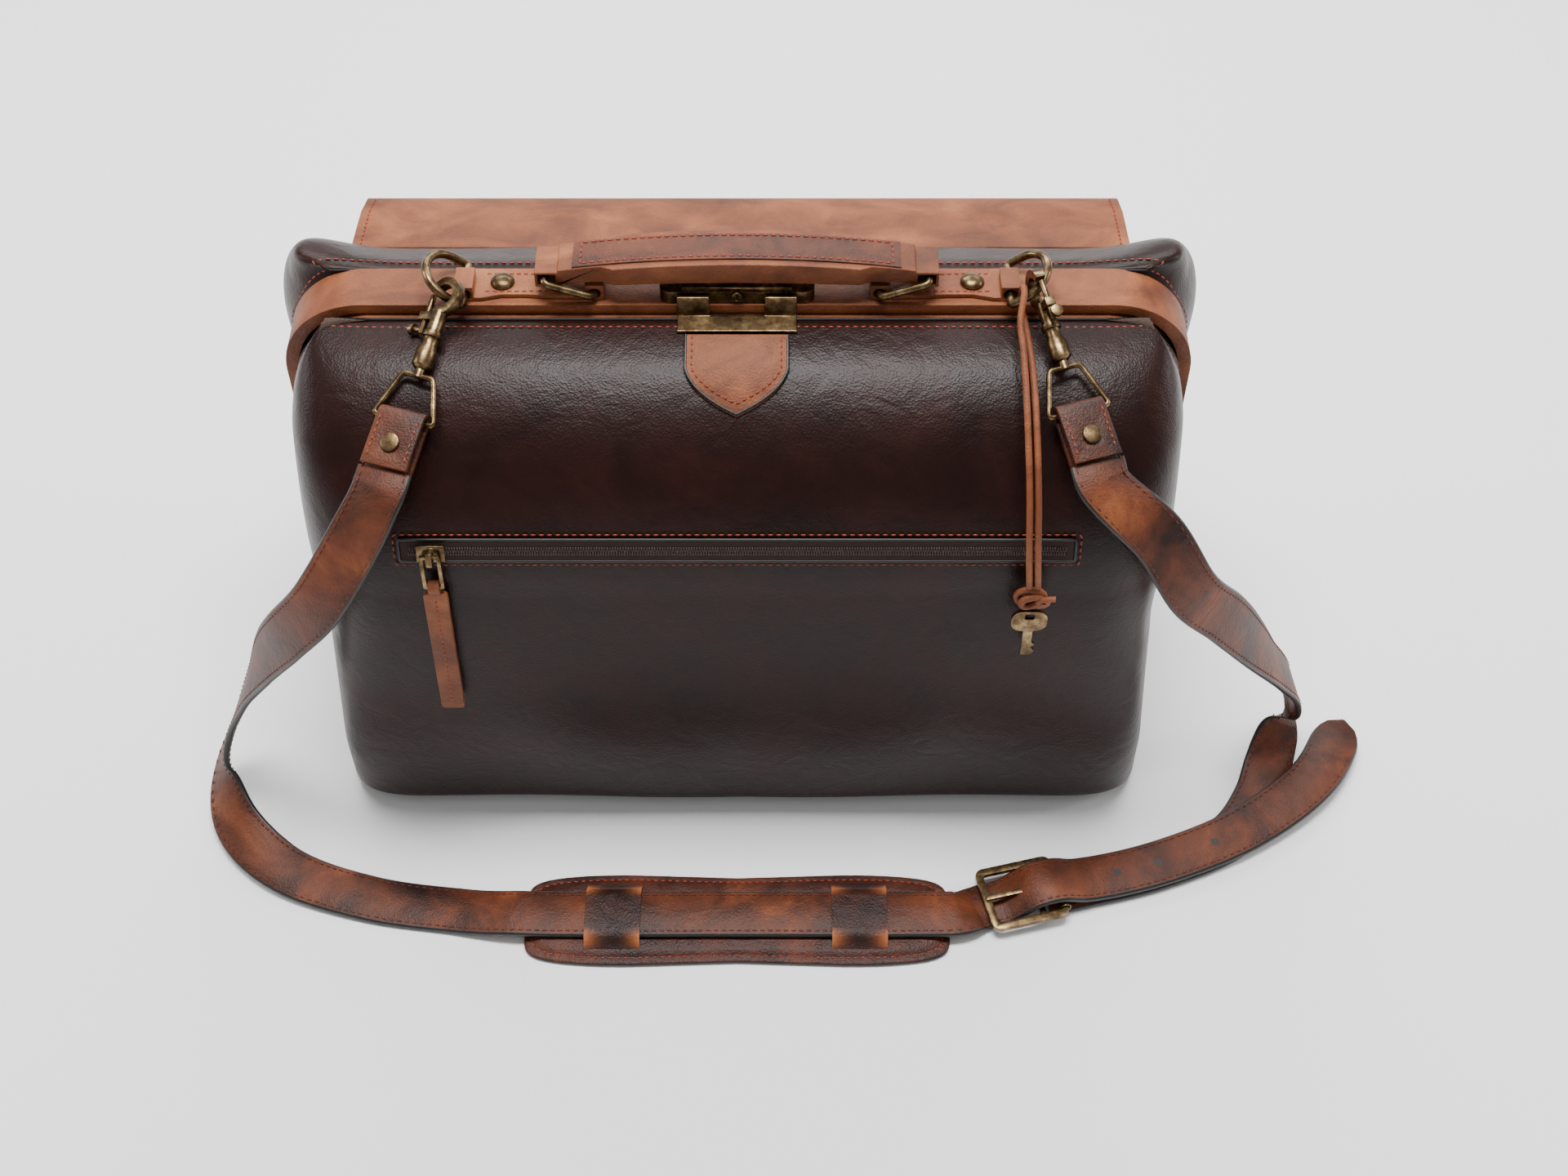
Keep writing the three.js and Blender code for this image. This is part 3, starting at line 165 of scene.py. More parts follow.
def ramp(tree, socket, stops):
    """A colour ramp driven by socket; stops are (position, hex)."""
    node = add_node(tree, "ShaderNodeValToRGB", {"Fac": socket})
    while len(node.color_ramp.elements) < len(stops):
        node.color_ramp.elements.new(0.5)
    for element, (position, code) in zip(node.color_ramp.elements, stops):
        element.position = position
        element.color = linear(code)
    return node.outputs["Color"]


def floor_material():
    material, tree, shader = start_material("studio_paper", Roughness=0.9)
    shader.inputs["Base Color"].default_value = linear("#fbfbfb")
    return material


def make_floor():
    """A wide pale sheet under the bag."""
    bm = bmesh.new()
    bmesh.ops.create_grid(bm, x_segments=2, y_segments=2, size=6)
    mesh = bpy.data.meshes.new("floor")
    bm.to_mesh(mesh)
    bm.free()
    floor = bpy.data.objects.new("floor", mesh)
    bpy.context.collection.objects.link(floor)
    floor.data.materials.append(floor_material())


make_floor()

# %% Leather
GRAIN_CELL = 0.0011
CREASE_SIZE = 0.018
PATCH_SIZE = 0.045


def leather(name, stops, roughness, grain, crease, streak=1.0, **settings):
    """Leather with patches of colour, fine cells and soft creases; streak stretches the patches."""
    material, tree, shader = start_material(name, **settings)
    place = add_node(tree, "ShaderNodeTexCoord").outputs["Object"]
    stretched = add_node(tree, "ShaderNodeMapping", {"Vector": place})
    stretched.inputs["Scale"].default_value = (1, streak, streak)
    patches = add_node(tree, "ShaderNodeTexNoise", {"Vector": stretched.outputs["Vector"]},
                       Scale=1 / PATCH_SIZE, Detail=6.0, Roughness=0.62, Distortion=0.6)
    colour = ramp(tree, patches.outputs["Fac"], stops)
    fine = add_node(tree, "ShaderNodeTexNoise", {"Vector": place}, Scale=900.0, Detail=2.0)
    speck = add_node(tree, "ShaderNodeMix", {"Factor": fine.outputs["Fac"], "A": colour}, data_type="RGBA",
                     blend_type="MULTIPLY")
    speck.inputs[0].default_value = 0.25
    tree.links.new(colour, speck.inputs[6])
    speck.inputs[7].default_value = (0.75, 0.72, 0.7, 1)
    tree.links.new(fine.outputs["Fac"], speck.inputs[0])
    tree.links.new(speck.outputs[2], shader.inputs["Base Color"])
    shine = add_node(tree, "ShaderNodeMapRange", {"Value": patches.outputs["Fac"]}, To_Min=roughness - 0.07,
                     To_Max=roughness + 0.1)
    tree.links.new(shine.outputs["Result"], shader.inputs["Roughness"])
    cells = add_node(tree, "ShaderNodeTexVoronoi", {"Vector": place}, Scale=1 / GRAIN_CELL)
    low = add_node(tree, "ShaderNodeTexNoise", {"Vector": place}, Scale=1 / CREASE_SIZE, Detail=5.0,
                   Distortion=1.4)
    broad = add_node(tree, "ShaderNodeBump", {"Height": low.outputs["Fac"]}, Strength=crease, Distance=0.004)
    bump = add_node(tree, "ShaderNodeBump", {"Height": cells.outputs["Distance"], "Normal": broad.outputs["Normal"]},
                    Strength=grain, Distance=0.0006)
    tree.links.new(bump.outputs["Normal"], shader.inputs["Normal"])
    return material


DARK_LEATHER = leather(
    "smooth_dark_leather",
    [(0.25, "#140402"), (0.5, "#1f0804"), (0.75, "#2b0d08")],
    roughness=0.36, grain=0.2, crease=0.13, Specular_IOR_Level=0.2)
TAN_LEATHER = leather(
    "waxed_tan_leather",
    [(0.22, "#40200f"), (0.42, "#6d3a20"), (0.6, "#8e5230"), (0.82, "#ac7248")],
    roughness=0.55, grain=0.3, crease=0.12, streak=1.4, Specular_IOR_Level=0.3)
STRAP_LEATHER = leather(
    "waxed_strap_leather",
    [(0.3, "#1f0c07"), (0.45, "#45200f"), (0.6, "#663219"), (0.8, "#955631")],
    roughness=0.5, grain=0.3, crease=0.15, Specular_IOR_Level=0.3)
PAD_LEATHER = leather(
    "waxed_pad_leather",
    [(0.3, "#1a0905"), (0.46, "#38170c"), (0.62, "#582a18"), (0.82, "#945029")],
    roughness=0.5, grain=0.35, crease=0.25, Specular_IOR_Level=0.3)
LINING_CLOTH = leather(
    "brown_lining",
    [(0.3, "#3a2a20"), (0.7, "#4b382b")],
    roughness=0.85, grain=0.6, crease=0.1)


# %% Metal, edge paint, thread and tape
def antique_brass():
    """Brass left dark in the hollows and rubbed bright on top."""
    material, tree, shader = start_material("antique_brass", Metallic=1.0)
    place = add_node(tree, "ShaderNodeTexCoord").outputs["Object"]
    tarnish = add_node(tree, "ShaderNodeTexNoise", {"Vector": place}, Scale=170.0, Detail=5.0, Roughness=0.65)
    tree.links.new(ramp(tree, tarnish.outputs["Fac"], [(0.3, "#33271a"), (0.5, "#67533a"), (0.74, "#a68e66")]),
                   shader.inputs["Base Color"])
    rough = add_node(tree, "ShaderNodeMapRange", {"Value": tarnish.outputs["Fac"]}, To_Min=0.42, To_Max=0.24)
    tree.links.new(rough.outputs["Result"], shader.inputs["Roughness"])
    scratches = add_node(tree, "ShaderNodeTexNoise", {"Vector": place}, Scale=800.0, Detail=3.0)
    bump = add_node(tree, "ShaderNodeBump", {"Height": scratches.outputs["Fac"]}, Strength=0.12, Distance=0.0003)
    tree.links.new(bump.outputs["Normal"], shader.inputs["Normal"])
    return material


def plain(name, code, roughness, fleck=0.15, size=0.002, metallic=0.0):
    """One colour, broken up a little by noise of the given size."""
    material, tree, shader = start_material(name, Metallic=metallic)
    place = add_node(tree, "ShaderNodeTexCoord").outputs["Object"]
    noise = add_node(tree, "ShaderNodeTexNoise", {"Vector": place}, Scale=1 / size, Detail=3.0)
    red, green, blue, _ = linear(code)
    node = add_node(tree, "ShaderNodeValToRGB", {"Fac": noise.outputs["Fac"]})
    node.color_ramp.elements[0].color = (red * (1 - fleck), green * (1 - fleck), blue * (1 - fleck), 1)
    node.color_ramp.elements[1].color = (red * (1 + fleck), green * (1 + fleck), blue * (1 + fleck), 1)
    tree.links.new(node.outputs["Color"], shader.inputs["Base Color"])
    shader.inputs["Roughness"].default_value = roughness
    bump = add_node(tree, "ShaderNodeBump", {"Height": noise.outputs["Fac"]}, Strength=0.3, Distance=0.0003)
    tree.links.new(bump.outputs["Normal"], shader.inputs["Normal"])
    return material


BRASS = antique_brass()
# The black edge paint colour also serves as the painted shade in the strap's punched holes.
EDGE_PAINT_AND_HOLE_SHADE = plain("black_edge_paint_and_hole_shade", "#15100e", 0.42)
RUST_THREAD = plain("rust_waxed_thread", "#8a3018", 0.6, 0.3)
DARK_THREAD = plain("brown_waxed_thread", "#4a1a0e", 0.6, 0.3)
ZIP_TAPE = plain("woven_zip_tape", "#2a1712", 0.9, 0.35, 0.0008)
ZIP_COIL = plain("nylon_zip_coil", "#2c1512", 0.35, 0.2)
STEEL = plain("plain_steel", "#77787a", 0.4, 0.1, 0.002, 1.0)
BOARD = plain("fibre_board", "#5a4a3a", 0.9)
print("materials", len(bpy.data.materials))


# %% [markdown]
# Every new piece ends the same way: its mesh is shaded smooth except at real corners, it gets its materials, it rides
# on a body of the frame, and the plain solids it stands for are hidden.

# %% Helpers for pieces
def finish_piece(name, bm, materials, body=None, stands_for=(), corner=35):
    """Turn a bmesh into a finished piece riding on body."""
    bmesh.ops.remove_doubles(bm, verts=bm.verts, dist=1e-6)
    mesh = bpy.data.meshes.new(name)
    bm.to_mesh(mesh)
    bm.free()
    mesh.polygons.foreach_set("use_smooth", [True] * len(mesh.polygons))
    mesh.set_sharp_from_angle(angle=math.radians(corner))
    piece = bpy.data.objects.new(name, mesh)
    bpy.context.collection.objects.link(piece)
    for material in materials:
        mesh.materials.append(material)
    if body:
        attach(piece, body)
    if stands_for:
        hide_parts(*stands_for)
    return piece


def node_body(node):
    """The body that a node belongs to."""
    empty = frame["nodes"][node].parent
    return next(body for body, made in frame["bodies"].items() if made is empty)


def node_bmesh(node, flat=1.0):
    """A clean bmesh of a node: doubles merged and flat triangles joined."""
    bm = bmesh.new()
    bm.from_mesh(frame["nodes"][node].data)
    bmesh.ops.remove_doubles(bm, verts=bm.verts, dist=1e-6)
    bmesh.ops.dissolve_limit(bm, angle_limit=math.radians(flat), verts=bm.verts, edges=bm.edges)
    return bm


def soften(node, material, width, segments=3, sharp=28):
    """Replace a node by a copy whose corners are rounded, as polishing or folding leaves them."""
    bm = node_bmesh(node)
    edges = [e for e in bm.edges if e.is_manifold and e.calc_face_angle(0) > math.radians(sharp)]
    bmesh.ops.bevel(bm, geom=edges, offset=width * MM, segments=segments, profile=0.5, affect="EDGES",
                    material=-1, clamp_overlap=True)
    return finish_piece(node + "_finished", bm, [material], node_body(node), [node], 40)


# %% [markdown]
# The strap's route is a smooth curve through chosen points. The same curve rule as the solids use
# (a centripetal spline through every point) keeps the leather exactly where its solid lies.

# %% Curves through points
def spline_point(points, share):
    """The point at share 0..1 of a centripetal spline through points, and its direction."""
    spans = len(points) - 1
    place = min(max(share, 0.0), 1.0) * spans
    i = min(int(place), spans - 1)
    t = place - i
    p1, p2 = points[i], points[i + 1]
    p0 = points[i - 1] if i > 0 else p1 * 2 - p2
    p3 = points[i + 2] if i + 2 < len(points) else p2 * 2 - p1
    d0, d1, d2 = [max((b - a).length ** 0.5, 1e-6) for a, b in ((p0, p1), (p1, p2), (p2, p3))]
    m1 = ((p1 - p0) / d0 - (p2 - p0) / (d0 + d1) + (p2 - p1) / d1) * d1
    m2 = ((p2 - p1) / d1 - (p3 - p1) / (d1 + d2) + (p3 - p2) / d2) * d1
    at = (2 * t ** 3 - 3 * t ** 2 + 1) * p1 + (t ** 3 - 2 * t ** 2 + t) * m1
    at += (-2 * t ** 3 + 3 * t ** 2) * p2 + (t ** 3 - t ** 2) * m2
    along = (6 * t ** 2 - 6 * t) * (p1 - p2) + (3 * t ** 2 - 4 * t + 1) * m1 + (3 * t ** 2 - 2 * t) * m2
    return at, along.normalized()


def strap_frames(stations, steps):
    """Points along a strap with its sideways and face directions."""
    places = [Vector(s[:3]) * MM for s in stations]
    faces = [Vector(s[3:]).normalized() for s in stations]
    frames = []
    for i in range(steps + 1):
        at, along = spline_point(places, i / steps)
        face, _ = spline_point(faces, i / steps)
        side = along.cross(face).normalized()
        frames.append((at, along, side, side.cross(along).normalized()))
    return frames


def walk(frames, pitch):
    """Frames at an even pitch along the strap, interpolated between its own frames."""
    walked, carried = [], 0.0
    for a, b in zip(frames, frames[1:]):
        length = (b[0] - a[0]).length
        while carried < length:
            t = carried / length
            walked.append(tuple(u.lerp(v, t) for u, v in zip(a, b)))
            carried += pitch
        carried -= length
    return walked


def run_length(frames):
    return sum((b[0] - a[0]).length for a, b in zip(frames, frames[1:]))


# %% [markdown]
# Stitches are short dashes of waxed thread lying in the leather. Each one is a tiny stretched
# ball with few faces, because a bag carries thousands of them.

# %% Stitches
def lay_stitches(name, seats, material, body=None, length=2.6, thickness=0.55):
    """Lay one stitch on each seat, which is (point, along, outward)."""
    bm = bmesh.new()
    for at, along, outward in seats:
        across = outward.cross(along).normalized()
        up = along.cross(across).normalized()
        turn = Matrix((along, across, up)).transposed().to_4x4()
        size = Matrix.Diagonal((length * MM / 2, thickness * MM / 2, thickness * MM / 2.4, 1))
        bmesh.ops.create_icosphere(bm, subdivisions=1, radius=1,
                                   matrix=Matrix.Translation(at + up * 0.0001) @ turn @ size)
    return finish_piece(name, bm, [material], body, (), 180)


def seats_along(points, outward, pitch):
    """Seats at an even pitch along a run of points; outward gives the leather's normal at a point."""
    seats, carried = [], pitch / 2
    for a, b in zip(points, points[1:]):
        length = (b - a).length
        while carried < length:
            at = a.lerp(b, carried / length)
            seats.append((at, (b - a).normalized(), outward(at)))
            carried += pitch
        carried -= length
    return seats


# %% [markdown]
# The shoulder strap is two lengths of belt leather: a long one with punched holes, and a short one
# that carries the buckle. A belt has a flat face, painted edges and a row of stitches each side,
# so the section is a flat rectangle with rounded corners, swept with a face direction of its own.

# %% Strap routes
SNAP_DOWN = {-1: Vector((-0.28, -0.86, -0.427)).normalized(), 1: Vector((0.28, -0.86, -0.427)).normalized()}
FOLD_END = 91
UP = (0, 0, 1)


def ring_contact(side):
    """Where a snap hooks its D-ring, in millimetres."""
    reach = {-1: 9, 1: 15}[side]
    share = max(0, reach - 8) / 13.8
    tilt = math.radians(36)
    deck = 190 + 99.5 + 1 + 5.5 + 0.3
    return Vector((side * (134 + reach * math.cos(tilt)), 3 - 14.8 * math.sqrt(1 - share ** 2),
                   deck + 4 + reach * math.sin(tilt)))


def past_fold(side, distance):
    """A strap station just past the end folded round the swivel eye."""
    down = SNAP_DOWN[side]
    at = ring_contact(side) + down * (FOLD_END + distance)
    face = (Vector(UP) - down * down.z).normalized()
    return (*at, *face)


BUCKLE = (154, -165)
BUCKLE_TURN = math.radians(14)


def in_buckle(u, z):
    return (BUCKLE[0] + u * math.cos(BUCKLE_TURN), BUCKLE[1] + u * math.sin(BUCKLE_TURN), z)


STRAP_LONG = [
    past_fold(-1, 0.8),
    past_fold(-1, 12),
    (-183, -111, 240, -0.25, -0.85, 0.45),
    (-206, -120, 203, -0.45, -0.88, 0.15),
    (-229, -112, 168, -0.7, -0.7, 0.05),
    (-250, -95, 128, -0.9, -0.35, 0.1),
    (-268, -82, 88, -0.95, 0, 0.2),
    (-283, -80, 52, -0.9, 0.1, 0.3),
    (-292, -93, 26, -0.75, 0, 0.6),
    (-284, -120, 12.5, -0.45, -0.2, 0.85),
    (-255, -147, 5.5, -0.1, -0.05, 1),
    (-205, -165, 2.4, *UP),
    (-155, -173, 2.6, *UP),
    (-138, -175.8, 5, *UP),
    (-124, -177.4, 7.5, *UP),
    (-100, -178, 7.4, *UP),
    (0, -178, 7.4, *UP),
    (95, -178, 7.4, *UP),
    (118, -177.4, 7.3, *UP),
    (127, -173, 3.6, *UP),
    (*in_buckle(-20.5, 2.8), *UP),
    (*in_buckle(-11, 4), -0.35, -0.09, 1),
    (*in_buckle(7, 14), *UP),
    (*in_buckle(19.5, 14), *UP),
    (*in_buckle(34, 8.4), *UP),
    (230, -145, 6.4, *UP),
    (285, -120, 6.4, *UP),
    (326, -88, 8.8, *UP),
    (350, -47, 6, *UP),
]
STRAP_SHORT = [
    past_fold(1, 0.8),
    past_fold(1, 12),
    (203, -110, 240, 0.25, -0.85, 0.45),
    (224, -116, 206, 0.45, -0.88, 0.15),
    (247, -104, 172, 0.7, -0.7, 0.05),
    (270, -86, 130, 0.9, -0.35, 0.1),
    (292, -68, 88, 0.95, 0, 0.2),
    (310, -55, 52, 0.95, 0.1, 0.3),
    (313, -52, 28, 0.8, 0.1, 0.5),
    (306, -66, 13, 0.4, -0.1, 0.9),
    (301, -79, 6, 0.2, -0.05, 1),
    (294, -97, 3, *UP),
    (274, -124, 2.4, *UP),
    (230, -145, 2.3, *UP),
    (*in_buckle(34, 2.2), *UP),
    (*in_buckle(12.5, 2.2), *UP),
]
STRAP_WIDTH = 28
STRAP_THICKNESS = 3.5


# %% Strap leather
def belt_section(width, thickness):
    """Half-round edges, flat faces; each corner says whether the face after it is edge or leather."""
    w, t = width / 2, thickness / 2
    section = []
    for side in (1, -1):
        for k in range(5):
            angle = math.radians(-90 + 45 * k)
            section.append((side * (w - t * 0.7 + t * 0.7 * math.cos(angle)), side * t * math.sin(angle), k < 4))
    return section


def belt(name, frames, width, thickness, tip=0.0):
    """Sweep the belt section along frames; tip rounds the last stretch to a point."""
    bm = bmesh.new()
    total = run_length(frames)
    section = belt_section(width, thickness)
    rings, walked = [], 0.0
    for i, (at, along, side, face) in enumerate(frames):
        if i:
            walked += (at - frames[i - 1][0]).length
        left = max(total - walked, 0.0)
        narrow = 1.0
        if tip and left < tip:
            narrow = max(math.sqrt(max(1 - ((tip - left) / tip) ** 2, 0)), 0.05)
        rings.append([bm.verts.new(at + side * (a * narrow * MM) + face * (b * MM)) for a, b, _ in section])
    for ring, following in zip(rings, rings[1:]):
        for j, (_, _, is_edge) in enumerate(section):
            k = (j + 1) % len(section)
            made = bm.faces.new((ring[j], following[j], following[k], ring[k]))
            made.material_index = 1 if is_edge else 0
    for ring, turn in ((rings[0], 1), (rings[-1], -1)):
        bm.faces.new(ring[::turn]).material_index = 1
    bm.normal_update()
    return finish_piece(name, bm, [STRAP_LEATHER, EDGE_PAINT_AND_HOLE_SHADE], None, (), 50)


def strap_stitches(name, frames, skip_end=0.0):
    """Two rows of stitches on the upper face, three millimetres in from the edges."""
    total = run_length(frames)
    seats, walked = [], 0.0
    for at, along, side, face in walk(frames, 4.2 * MM):
        walked += 4.2 * MM
        if walked > total - skip_end:
            break
        for edge in (-1, 1):
            for up in (-1, 1):
                place = at + side * (edge * (STRAP_WIDTH / 2 - 2.8) * MM) + face * (up * STRAP_THICKNESS / 2 * MM)
                seats.append((place, along, face * up))
    return lay_stitches(name, seats, DARK_THREAD, None, 3.0, 0.95)


def make_strap(name, stations, node, steps, tip=0.0):
    """One length of the shoulder strap and its stitches; its solid is hidden."""
    frames = strap_frames(stations, steps)
    piece = belt(name, frames, STRAP_WIDTH, STRAP_THICKNESS, tip)
    stitches = strap_stitches(name + "_stitches", frames, tip)
    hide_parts(node)
    for part in (piece, stitches):
        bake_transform(part)
    return piece, frames


HOLE_PLACES = ((206, -152), (230, -145), (262, -131))


def paint_hole_shade(frames, places):
    """Dark discs at the strap's punched holes, lying on its upper face: painted shade for the depth of the holes, which
    are not cut through.
    """
    bm = bmesh.new()
    for x, y in places:
        at, along, side, face = min(frames[len(frames) // 2:], key=lambda f: (f[0].xy - Vector((x, y)) * MM).length)
        turn = Matrix((along, side, face)).transposed().to_4x4()
        spot = Matrix.Translation(at + face * (STRAP_THICKNESS / 2 + 0.06) * MM) @ turn
        bmesh.ops.create_circle(bm, cap_ends=True, segments=16, radius=2.3 * MM, matrix=spot)
    marks = finish_piece("strap_hole_painted_shade", bm, [EDGE_PAINT_AND_HOLE_SHADE], "bag", (), 60)
    return marks


strap_long, long_frames = make_strap("strap_long_leather", STRAP_LONG, "strap_long", 280, 0.022)
strap_short, short_frames = make_strap("strap_short_leather", STRAP_SHORT, "strap_short", 160)
paint_hole_shade(long_frames, HOLE_PLACES)
print("strap lengths", round(run_length(long_frames), 3), round(run_length(short_frames), 3))

# %% Closed outlines
def rounded_outline(corners, radius, steps=6):
    """A closed outline of (u, v) points with each corner replaced by an arc-like curve."""
    outline = []
    count = len(corners)
    for i, corner in enumerate(corners):
        before, after = Vector(corners[i - 1]), Vector(corners[(i + 1) % count])
        here = Vector(corner)
        a = here + (before - here).normalized() * radius
        b = here + (after - here).normalized() * radius
        for k in range(steps + 1):
            t = k / steps
            outline.append(a * (1 - t) ** 2 + here * 2 * t * (1 - t) + b * t * t)
    return outline


def fill_run(outline, spacing=1.2):
    """Add points along the long straight stretches of a closed outline."""
    filled = []
    for i, a in enumerate(outline):
        b = outline[(i + 1) % len(outline)]
        parts = max(int((b - a).length / spacing), 1)
        filled += [a.lerp(b, k / parts) for k in range(parts)]
    return filled


# %% Thong
THONG_X = 139.3
THONG_Z = 190 + 99.5 + 1 + 5.5 + 0.3 + 4 + 3.7
RING_FRONT = 3 - 17 + 2.2
STRAND = 2.1
THONG_FRONT = [(6, -115, 209), (4, -113.5, 232), (3, -99, 258), (2, -74, 280), (1, -44, 296), (0, -26, 303)]
thong_route = [Vector((THONG_X + x - STRAND, y, z)) * MM for x, y, z in THONG_FRONT]
thong_route += [Vector((THONG_X, RING_FRONT + y, THONG_Z + z)) * MM
                for y, z in ((-2.5, 5.8), (3.4, 5.2), (5.2, 0), (3.2, -5.2), (-3, -6))]
thong_route += [Vector((THONG_X + STRAND / 2, -24, 297.5)) * MM, Vector((THONG_X + 1 + STRAND, -44, 292)) * MM]
thong_route += [Vector((THONG_X + x + STRAND, y, z)) * MM for x, y, z in THONG_FRONT[3::-1]]
THONG_RADIUS = 1.7


def round_tube(name, points, radius, sides, material, body=None, closed=False):
    """Sweep a circle along points, carrying its own turn so that it never twists."""
    bm = bmesh.new()
    count = len(points)
    rings = []
    across = None
    for i, at in enumerate(points):
        before = points[i - 1] if (i or closed) else at
        after = points[(i + 1) % count] if (i < count - 1 or closed) else at
        along = (after - before).normalized()
        if across is None:
            across = along.orthogonal().normalized()
        across = (across - along * across.dot(along)).normalized()
        other = along.cross(across)
        rings.append([bm.verts.new(at + (across * math.cos(2 * math.pi * k / sides)
                                         + other * math.sin(2 * math.pi * k / sides)) * radius)
                      for k in range(sides)])
    pairs = list(zip(rings, rings[1:]))
    if closed:
        pairs.append((rings[-1], rings[0]))
    for ring, following in pairs:
        shift = 0
        if closed and following is rings[0]:
            shift = min(range(sides), key=lambda s: (ring[0].co - following[s].co).length)
        for k in range(sides):
            a, b = (k + shift) % sides, (k + 1 + shift) % sides
            bm.faces.new((ring[k], ring[(k + 1) % sides], following[b], following[a]))
    if not closed:
        bm.faces.new(rings[0][::-1])
        bm.faces.new(rings[-1])
    bmesh.ops.recalc_face_normals(bm, faces=bm.faces)
    return finish_piece(name, bm, [material], body, (), 60)


thong_path = [spline_point(thong_route, i / 150)[0] for i in range(151)]
thong = round_tube("thong_lace", thong_path, THONG_RADIUS * MM, 10, TAN_LEATHER, "bag")
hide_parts("thong")


# %% [markdown]
# The knot is the same lace wound round itself: three short loops of tube and one loose tail.

# %% Knot of the thong
def thong_knot():
    low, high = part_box("thong_knot")
    centre = (low + high) / 2
    bm_points = []
    for i in range(120):
        t = i / 119 * 3 * 2 * math.pi
        bm_points.append(centre + Vector((math.cos(t) * 5.6 + math.sin(t / 3) * 2.4, math.sin(t * 0.5) * 1.9 - 0.4,
                                          math.sin(t) * 4.6 + math.cos(t / 2) * 1.6)) * MM)
    knot = round_tube("thong_knot_lace", bm_points, 1.75 * MM, 8, TAN_LEATHER, "bag")
    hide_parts("thong_knot")
    tail = [centre + Vector((2 + 9 * t, -2.5 - t, 1 + 6 * t - 3 * t * t)) * MM for t in [i / 8 for i in range(9)]]
    tails = round_tube("thong_tail", tail, 1.5 * MM, 8, TAN_LEATHER, "bag")
    return knot, tails


knot, tails = thong_knot()


# %% [markdown]
# The body is two hides: a front and a rear one, each sewn to its half of the frame, wrapped round a
# soft upright corner, and tucked in at the middle of the side, where the bag folds. A hide is made
# of rows. Each row starts at the middle of the bag, runs out level, turns the corner on a Bezier
# curve and ends on the frame's arm, or lower down in the tucked fold.

# %% Rows of a hide
HIDE_RADIUS = 103.4
SIDE = 221
ARCH_CORNER = 43
SEAM = {-1: (11.5, 290.9), 1: (20, 294.5)}
EAR_SPREAD = 20
EAR_RISE = 12


def front_line(side, q):
    """The (depth, height) of the middle of row q: 0 at the seam, 1 level with the hinge, 2 at the floor."""
    seam, top = SEAM[side]
    if q <= 1:
        start = math.atan2(seam, top - 190)
        angle = start + (math.pi / 2 - start) * q
        seam_radius = math.hypot(seam, top - 190)
        ease = min(q / 0.22, 1)
        radius = seam_radius + (HIDE_RADIUS - seam_radius) * (ease * ease * (3 - 2 * ease))
        radius += 0.5 * math.sin(math.pi * min(q, 1)) ** 2
        return radius * math.sin(angle), 190 + radius * math.cos(angle)
    drop = (q - 1) * 190
    height = 190 - drop
    depth = HIDE_RADIUS + 6.5 * math.sin(math.pi * min(drop / 176, 1)) ** 0.9
    if height < 14:
        turn = (14 - height) / 14
        depth -= 13 * (1 - math.sqrt(max(1 - turn * turn, 0)))
    return depth, height


def row_end(side, q):
    """Where row q ends: (x, depth, height), going round the arch, down the arm, into the fold."""
    half = SIDE + 1.3 if side < 0 else SIDE + 8
    seam, top = SEAM[side]
    corner = ARCH_CORNER if side < 0 else ARCH_CORNER + 4
    arc = corner * math.pi / 2
    arm = top - corner - 184
    if q <= 1:
        run = q * (arc + arm)
        if run < arc:
            angle = run / corner
            return half - corner + corner * math.sin(angle), seam, top - corner + corner * math.cos(angle)
        return half, seam, top - corner - (run - arc)
    height = 184 * (2 - q)
    sink = min((q - 1) / 0.22, 1)
    sink = sink * sink * (3 - 2 * sink)
    depth = seam + (1.0 - seam) * sink
    if side > 0:
        half -= 6.7 * sink
    valley = 13 * sink * math.sin(math.pi * min(max(height, 0) / 184, 1)) ** 0.7
    return half - valley + 2 * sink, depth, height


def hide_point(side, q, u):
    """A point of the hide: u runs from 0 at the middle to 1 where the corner starts, to 2 at the row's end."""
    depth, height = front_line(side, q)
    end_x, end_depth, end_height = row_end(side, q)
    spread = min(q, 1) ** 0.6
    corner_x = end_x - 30 - 26 * spread if q < 1 else 171
    if q >= 1:
        blend_share = min((q - 1) / 0.3, 1)
        corner_x = (end_x - 56) * (1 - blend_share) + 178 * blend_share
    if u <= 1:
        return Vector((corner_x * u, side * depth, height))
    t = u - 1
    bulge = 5 * min(q, 1)
    if side > 0:
        bulge += EAR_SPREAD * min(q / 0.12, 1) * max(1 - max(q - 0.6, 0) / 0.5, 0)
    low = min(max((q - 1.25) / 0.5, 0), 1)
    a = Vector((corner_x, depth, height))
    side_x = max(end_x, SIDE) + bulge + 5 * low
    b = Vector((corner_x + (0.78 + 0.14 * low) * (side_x - corner_x), depth, height))
    c = Vector((side_x, end_depth + (0.72 + 0.16 * low) * (depth - end_depth), end_height))
    d = Vector((end_x, end_depth, end_height))
    p = a * (1 - t) ** 3 + b * 3 * t * (1 - t) ** 2 + c * 3 * t * t * (1 - t) + d * t ** 3
    if side > 0 and q < 0.7:
        p.z += EAR_RISE * math.sin(math.pi * q / 0.7) * math.sin(math.pi * min(t / 0.9, 1)) ** 2
    return Vector((p.x, side * p.y, p.z))


ZIP_HEIGHT = 219.4
ZIP_CALM = 16


def soft_wave(p):
    """Slow unevenness of stuffed leather, in millimetres, fading out beside the zip."""
    wave = math.sin(p.x / 47 + 1.3) * math.sin(p.z / 38 + 0.6) + 0.5 * math.sin(p.x / 23 - p.z / 31)
    calm = min(max((abs(p.z - ZIP_HEIGHT) - ZIP_CALM) / ZIP_CALM, 0), 1)
    return wave * 0.9 * calm


HIDE_ROWS = [i / 28 for i in range(28)] + [1 + i / 26 for i in range(27)]
HIDE_COLUMNS = [i / 26 for i in range(26)] + [1 + i / 18 for i in range(19)]


